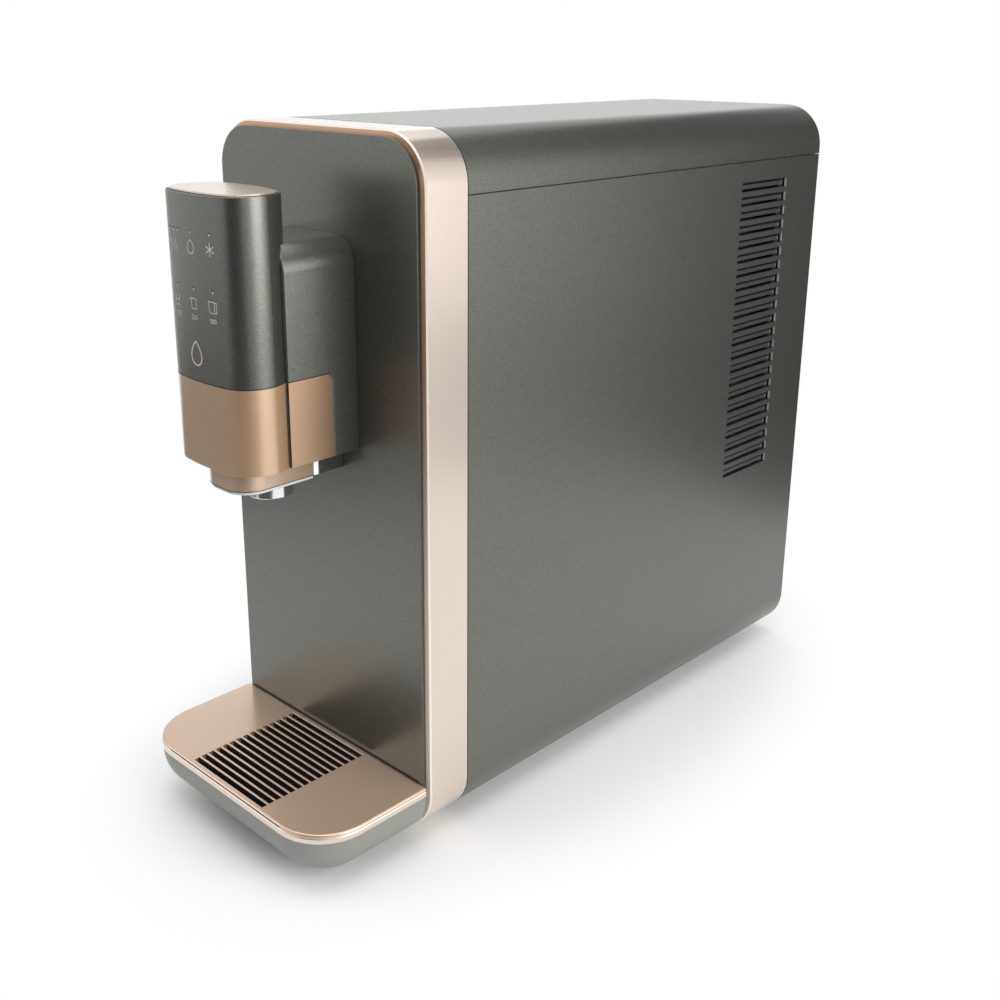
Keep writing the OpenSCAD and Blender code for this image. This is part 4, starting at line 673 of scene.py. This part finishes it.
lampSpots = [(columns[0] + shift, marks["lampRow"]) for shift in (-5.0, -0.5, 3.9)]
lampSpots += [(x, marks["lampRow"]) for x in columns[1:]] + [(x, marks["cupLampRow"]) for x in columns]
inkDots("lampWells", lampSpots, 0.85, "seamBlack")
inkDots("keyLamps", [(x + 0.28, z - 0.36) for x, z in lampSpots], 0.62, "whitePlastic", lift=0.05)


def inkNumber(name, words, x, z, size):
    curve = bpy.data.curves.new(name, "FONT")
    curve.body = words
    curve.align_x = "CENTER"
    curve.align_y = "CENTER"
    curve.size = size
    holder = bpy.data.objects.new(name + "Flat", curve)
    bpy.context.scene.collection.objects.link(holder)
    bpy.context.view_layer.update()
    flat = bpy.data.meshes.new_from_object(holder)
    bpy.data.objects.remove(holder)
    bm = bmesh.new()
    bm.from_mesh(flat)
    for v in bm.verts:
        v.co = onHead(x + v.co.x, z + v.co.y)
    bmesh.ops.remove_doubles(bm, verts=bm.verts, dist=weld["letter"])
    thicken(bm, 0.00004)
    asPiece(name, bm, "paleInk", "case", sharp=60)


for label, x in zip(("120", "250", "500"), columns):
    inkNumber("amount" + label, label, x - 0.5, marks["numberRow"], 3.4)
print("marks on the head done")


# floor, light and camera
def stageMaterial(name, tone, rough):
    material = bpy.data.materials.new(name)
    material.use_nodes = True
    skin = material.node_tree.nodes["Principled BSDF"]
    skin.inputs["Base Color"].default_value = (*tone, 1)
    skin.inputs["Roughness"].default_value = rough
    return material


def stagePlane(name, centre, size, turn, material):
    bm = bmesh.new()
    bmesh.ops.create_grid(bm, x_segments=1, y_segments=1, size=0.5)
    for v in bm.verts:
        v.co = Vector((v.co.x * size[0], v.co.y * size[1], 0))
    mesh = bpy.data.meshes.new(name)
    bm.to_mesh(mesh)
    bm.free()
    mesh.materials.append(material)
    plane = bpy.data.objects.new(name, mesh)
    bpy.context.scene.collection.objects.link(plane)
    plane.location = centre
    plane.rotation_euler = turn
    return plane


def seenRays(tree):
    # 1 for the rays of the camera, of reflections and of glass, and the reflections alone
    rays = tree.nodes.new("ShaderNodeLightPath")
    glossy = rays.outputs["Is Glossy Ray"]
    seen = mathNode(tree, "MAXIMUM", rays.outputs["Is Camera Ray"], glossy)
    return mathNode(tree, "MAXIMUM", seen, rays.outputs["Is Transmission Ray"]), glossy


# plain lit paper near the object turns white over this run, in metres from the middle;
# the spread makes the plain part narrower in x and longer in y
paper = {"spread": (1.3, 0.75, 0), "plain": 0.15, "white": 0.255}


def whitePaper():
    # white for the camera and in reflections away from the object, plain lit paper around it
    material = stageMaterial("floorPaper", (0.9, 0.9, 0.9), 0.9)
    tree = material.node_tree
    link = tree.links.new
    place = tree.nodes.new("ShaderNodeTexCoord")
    reach = tree.nodes.new("ShaderNodeVectorMath")
    reach.operation = "LENGTH"
    spread = tree.nodes.new("ShaderNodeVectorMath")
    spread.operation = "MULTIPLY"
    spread.inputs[1].default_value = paper["spread"]
    link(place.outputs["Object"], spread.inputs[0])
    link(spread.outputs[0], reach.inputs[0])
    fade = fadeNode(tree, reach.outputs["Value"], paper["plain"], paper["white"])
    seen = seenRays(tree)[0]
    glow = put(tree, "ShaderNodeEmission", Strength=1.0)
    both = tree.nodes.new("ShaderNodeMixShader")
    link(mathNode(tree, "MULTIPLY", fade, seen), both.inputs[0])
    link(tree.nodes["Principled BSDF"].outputs[0], both.inputs[1])
    link(glow.outputs[0], both.inputs[2])
    link(both.outputs[0], tree.nodes["Material Output"].inputs["Surface"])
    return material


stagePlane("floor", (0, 0, cadLow[2] - 0.0002), (14, 14), (0, 0, 0), whitePaper())

# dark and grey cards give the metal something to reflect, and the camera doesn't see them
cards = {
    "rearCloth": {"place": (0.2, 1.15, 0), "size": (0.36, 1.4), "turn": (0, 0, 15), "tone": 0.04},
    "rearCard": {"place": (0.34, 0.72, 0.75), "size": (0.5, 1.5), "turn": (90, 0, -12), "tone": 0.03},
    "highCard": {"place": (0.19, 0.74, 1.35), "size": (0.82, 1.4), "turn": (90, 0, 0), "tone": 0.06},
    "sideCloth": {"place": (0.86, 0.5, 0), "size": (0.75, 0.8), "turn": (0, 0, 43), "tone": 0.35},
    "eyeCard": {"place": (0.55, -1.25, 0.6), "size": (1.1, 1.2), "turn": (90, 0, 25), "tone": 0.04},
    "eyeCloth": {"place": (0.33, -1.0, 0), "size": (1.6, 0.85), "turn": (0, 0, 25), "tone": 0.05},
    "leftCloth": {"place": (-0.75, -0.75, 0), "size": (0.9, 0.9), "turn": (0, 0, 45), "tone": 0.2},
}
for name, card in cards.items():
    place = Vector(card["place"]) + Vector((0, 0, cadLow[2] + 0.0008))
    tone = card["tone"]
    turn = tuple(math.radians(a) for a in card["turn"])
    board = stagePlane(name, place, card["size"], turn, stageMaterial(name, (tone, tone, tone), 0.9))
    board.visible_camera = False

lamps = {
    "topBox": {"place": (0.0, 0.1, 1.7), "aim": (0, 0.1, 0.2), "size": (1.8, 1.8), "power": 20},
    "backBox": {"place": (-1.2, 1.3, 0.84), "aim": (0, 0.05, 0.38), "size": (2.0, 0.36), "power": 2.4},
    "leftBox": {"place": (-1.5, -1.1, 1.1), "aim": (0, 0, 0.2), "size": (1.2, 1.2), "power": 5},
    "rightBox": {"place": (1.2, 0.05, 0.62), "aim": (0, -0.1, 0.3), "size": (0.8, 0.8), "power": 10},
    "sideBox": {"place": (1.3, 0.2, 0.32), "aim": (0, -0.1, 0.3), "size": (0.9, 0.5), "power": 3.0},
}
for name, lamp in lamps.items():
    light = bpy.data.lights.new(name, "AREA")
    light.shape = "RECTANGLE"
    light.size, light.size_y = lamp["size"]
    light.energy = lamp["power"]
    holder = bpy.data.objects.new(name, light)
    bpy.context.scene.collection.objects.link(holder)
    holder.location = lamp["place"]
    beam = Vector(lamp["aim"]) - Vector(lamp["place"])
    holder.rotation_euler = beam.to_track_quat("-Z", "Y").to_euler()

world = bpy.data.worlds.new("studio")
bpy.context.scene.world = world
world.use_nodes = True
sky = world.node_tree
backdrop = sky.nodes["Background"]
backdrop.inputs["Color"].default_value = (1, 1, 1, 1)
# strength 1 where it's seen, 0.8 in reflections, and half as a light
seen, glossy = seenRays(sky)
bright = mathNode(sky, "ADD", mathNode(sky, "MULTIPLY", seen, 0.5), 0.5)
dimmed = mathNode(sky, "ADD", bright, mathNode(sky, "MULTIPLY", glossy, -0.2))
sky.links.new(dimmed, backdrop.inputs["Strength"])

# the photo's camera, fitted to the outline: angles in degrees,
# and its place in millimetres from the panel's face and the underside
eye = {"place": (509.7, -398.2, 430.4), "azimuth": 44.47, "pitch": 17.3878, "roll": 0.1556,
       "lens": 43.7625, "shift": (0.026595, -0.077198)}
yaw, pitch, roll = (math.radians(eye[k]) for k in ("azimuth", "pitch", "roll"))
ahead = Vector((-math.sin(yaw) * math.cos(pitch), math.cos(yaw) * math.cos(pitch), -math.sin(pitch)))
right = Vector((math.cos(yaw), math.sin(yaw), 0))
up = right.cross(ahead)
right, up = right * math.cos(roll) + up * math.sin(roll), up * math.cos(roll) - right * math.sin(roll)
camera = bpy.data.cameras.new("camera")
camera.lens = eye["lens"]
camera.sensor_width = 36
camera.shift_x, camera.shift_y = eye["shift"]
camera.clip_start = 0.02
viewer = bpy.data.objects.new("camera", camera)
bpy.context.scene.collection.objects.link(viewer)
facing = Matrix((right, up, -ahead)).transposed().to_4x4()
viewer.matrix_world = Matrix.Translation(at(*eye["place"])) @ facing
bpy.context.scene.camera = viewer
bpy.context.scene.view_settings.view_transform = "Standard"
print("floor, light and camera set")
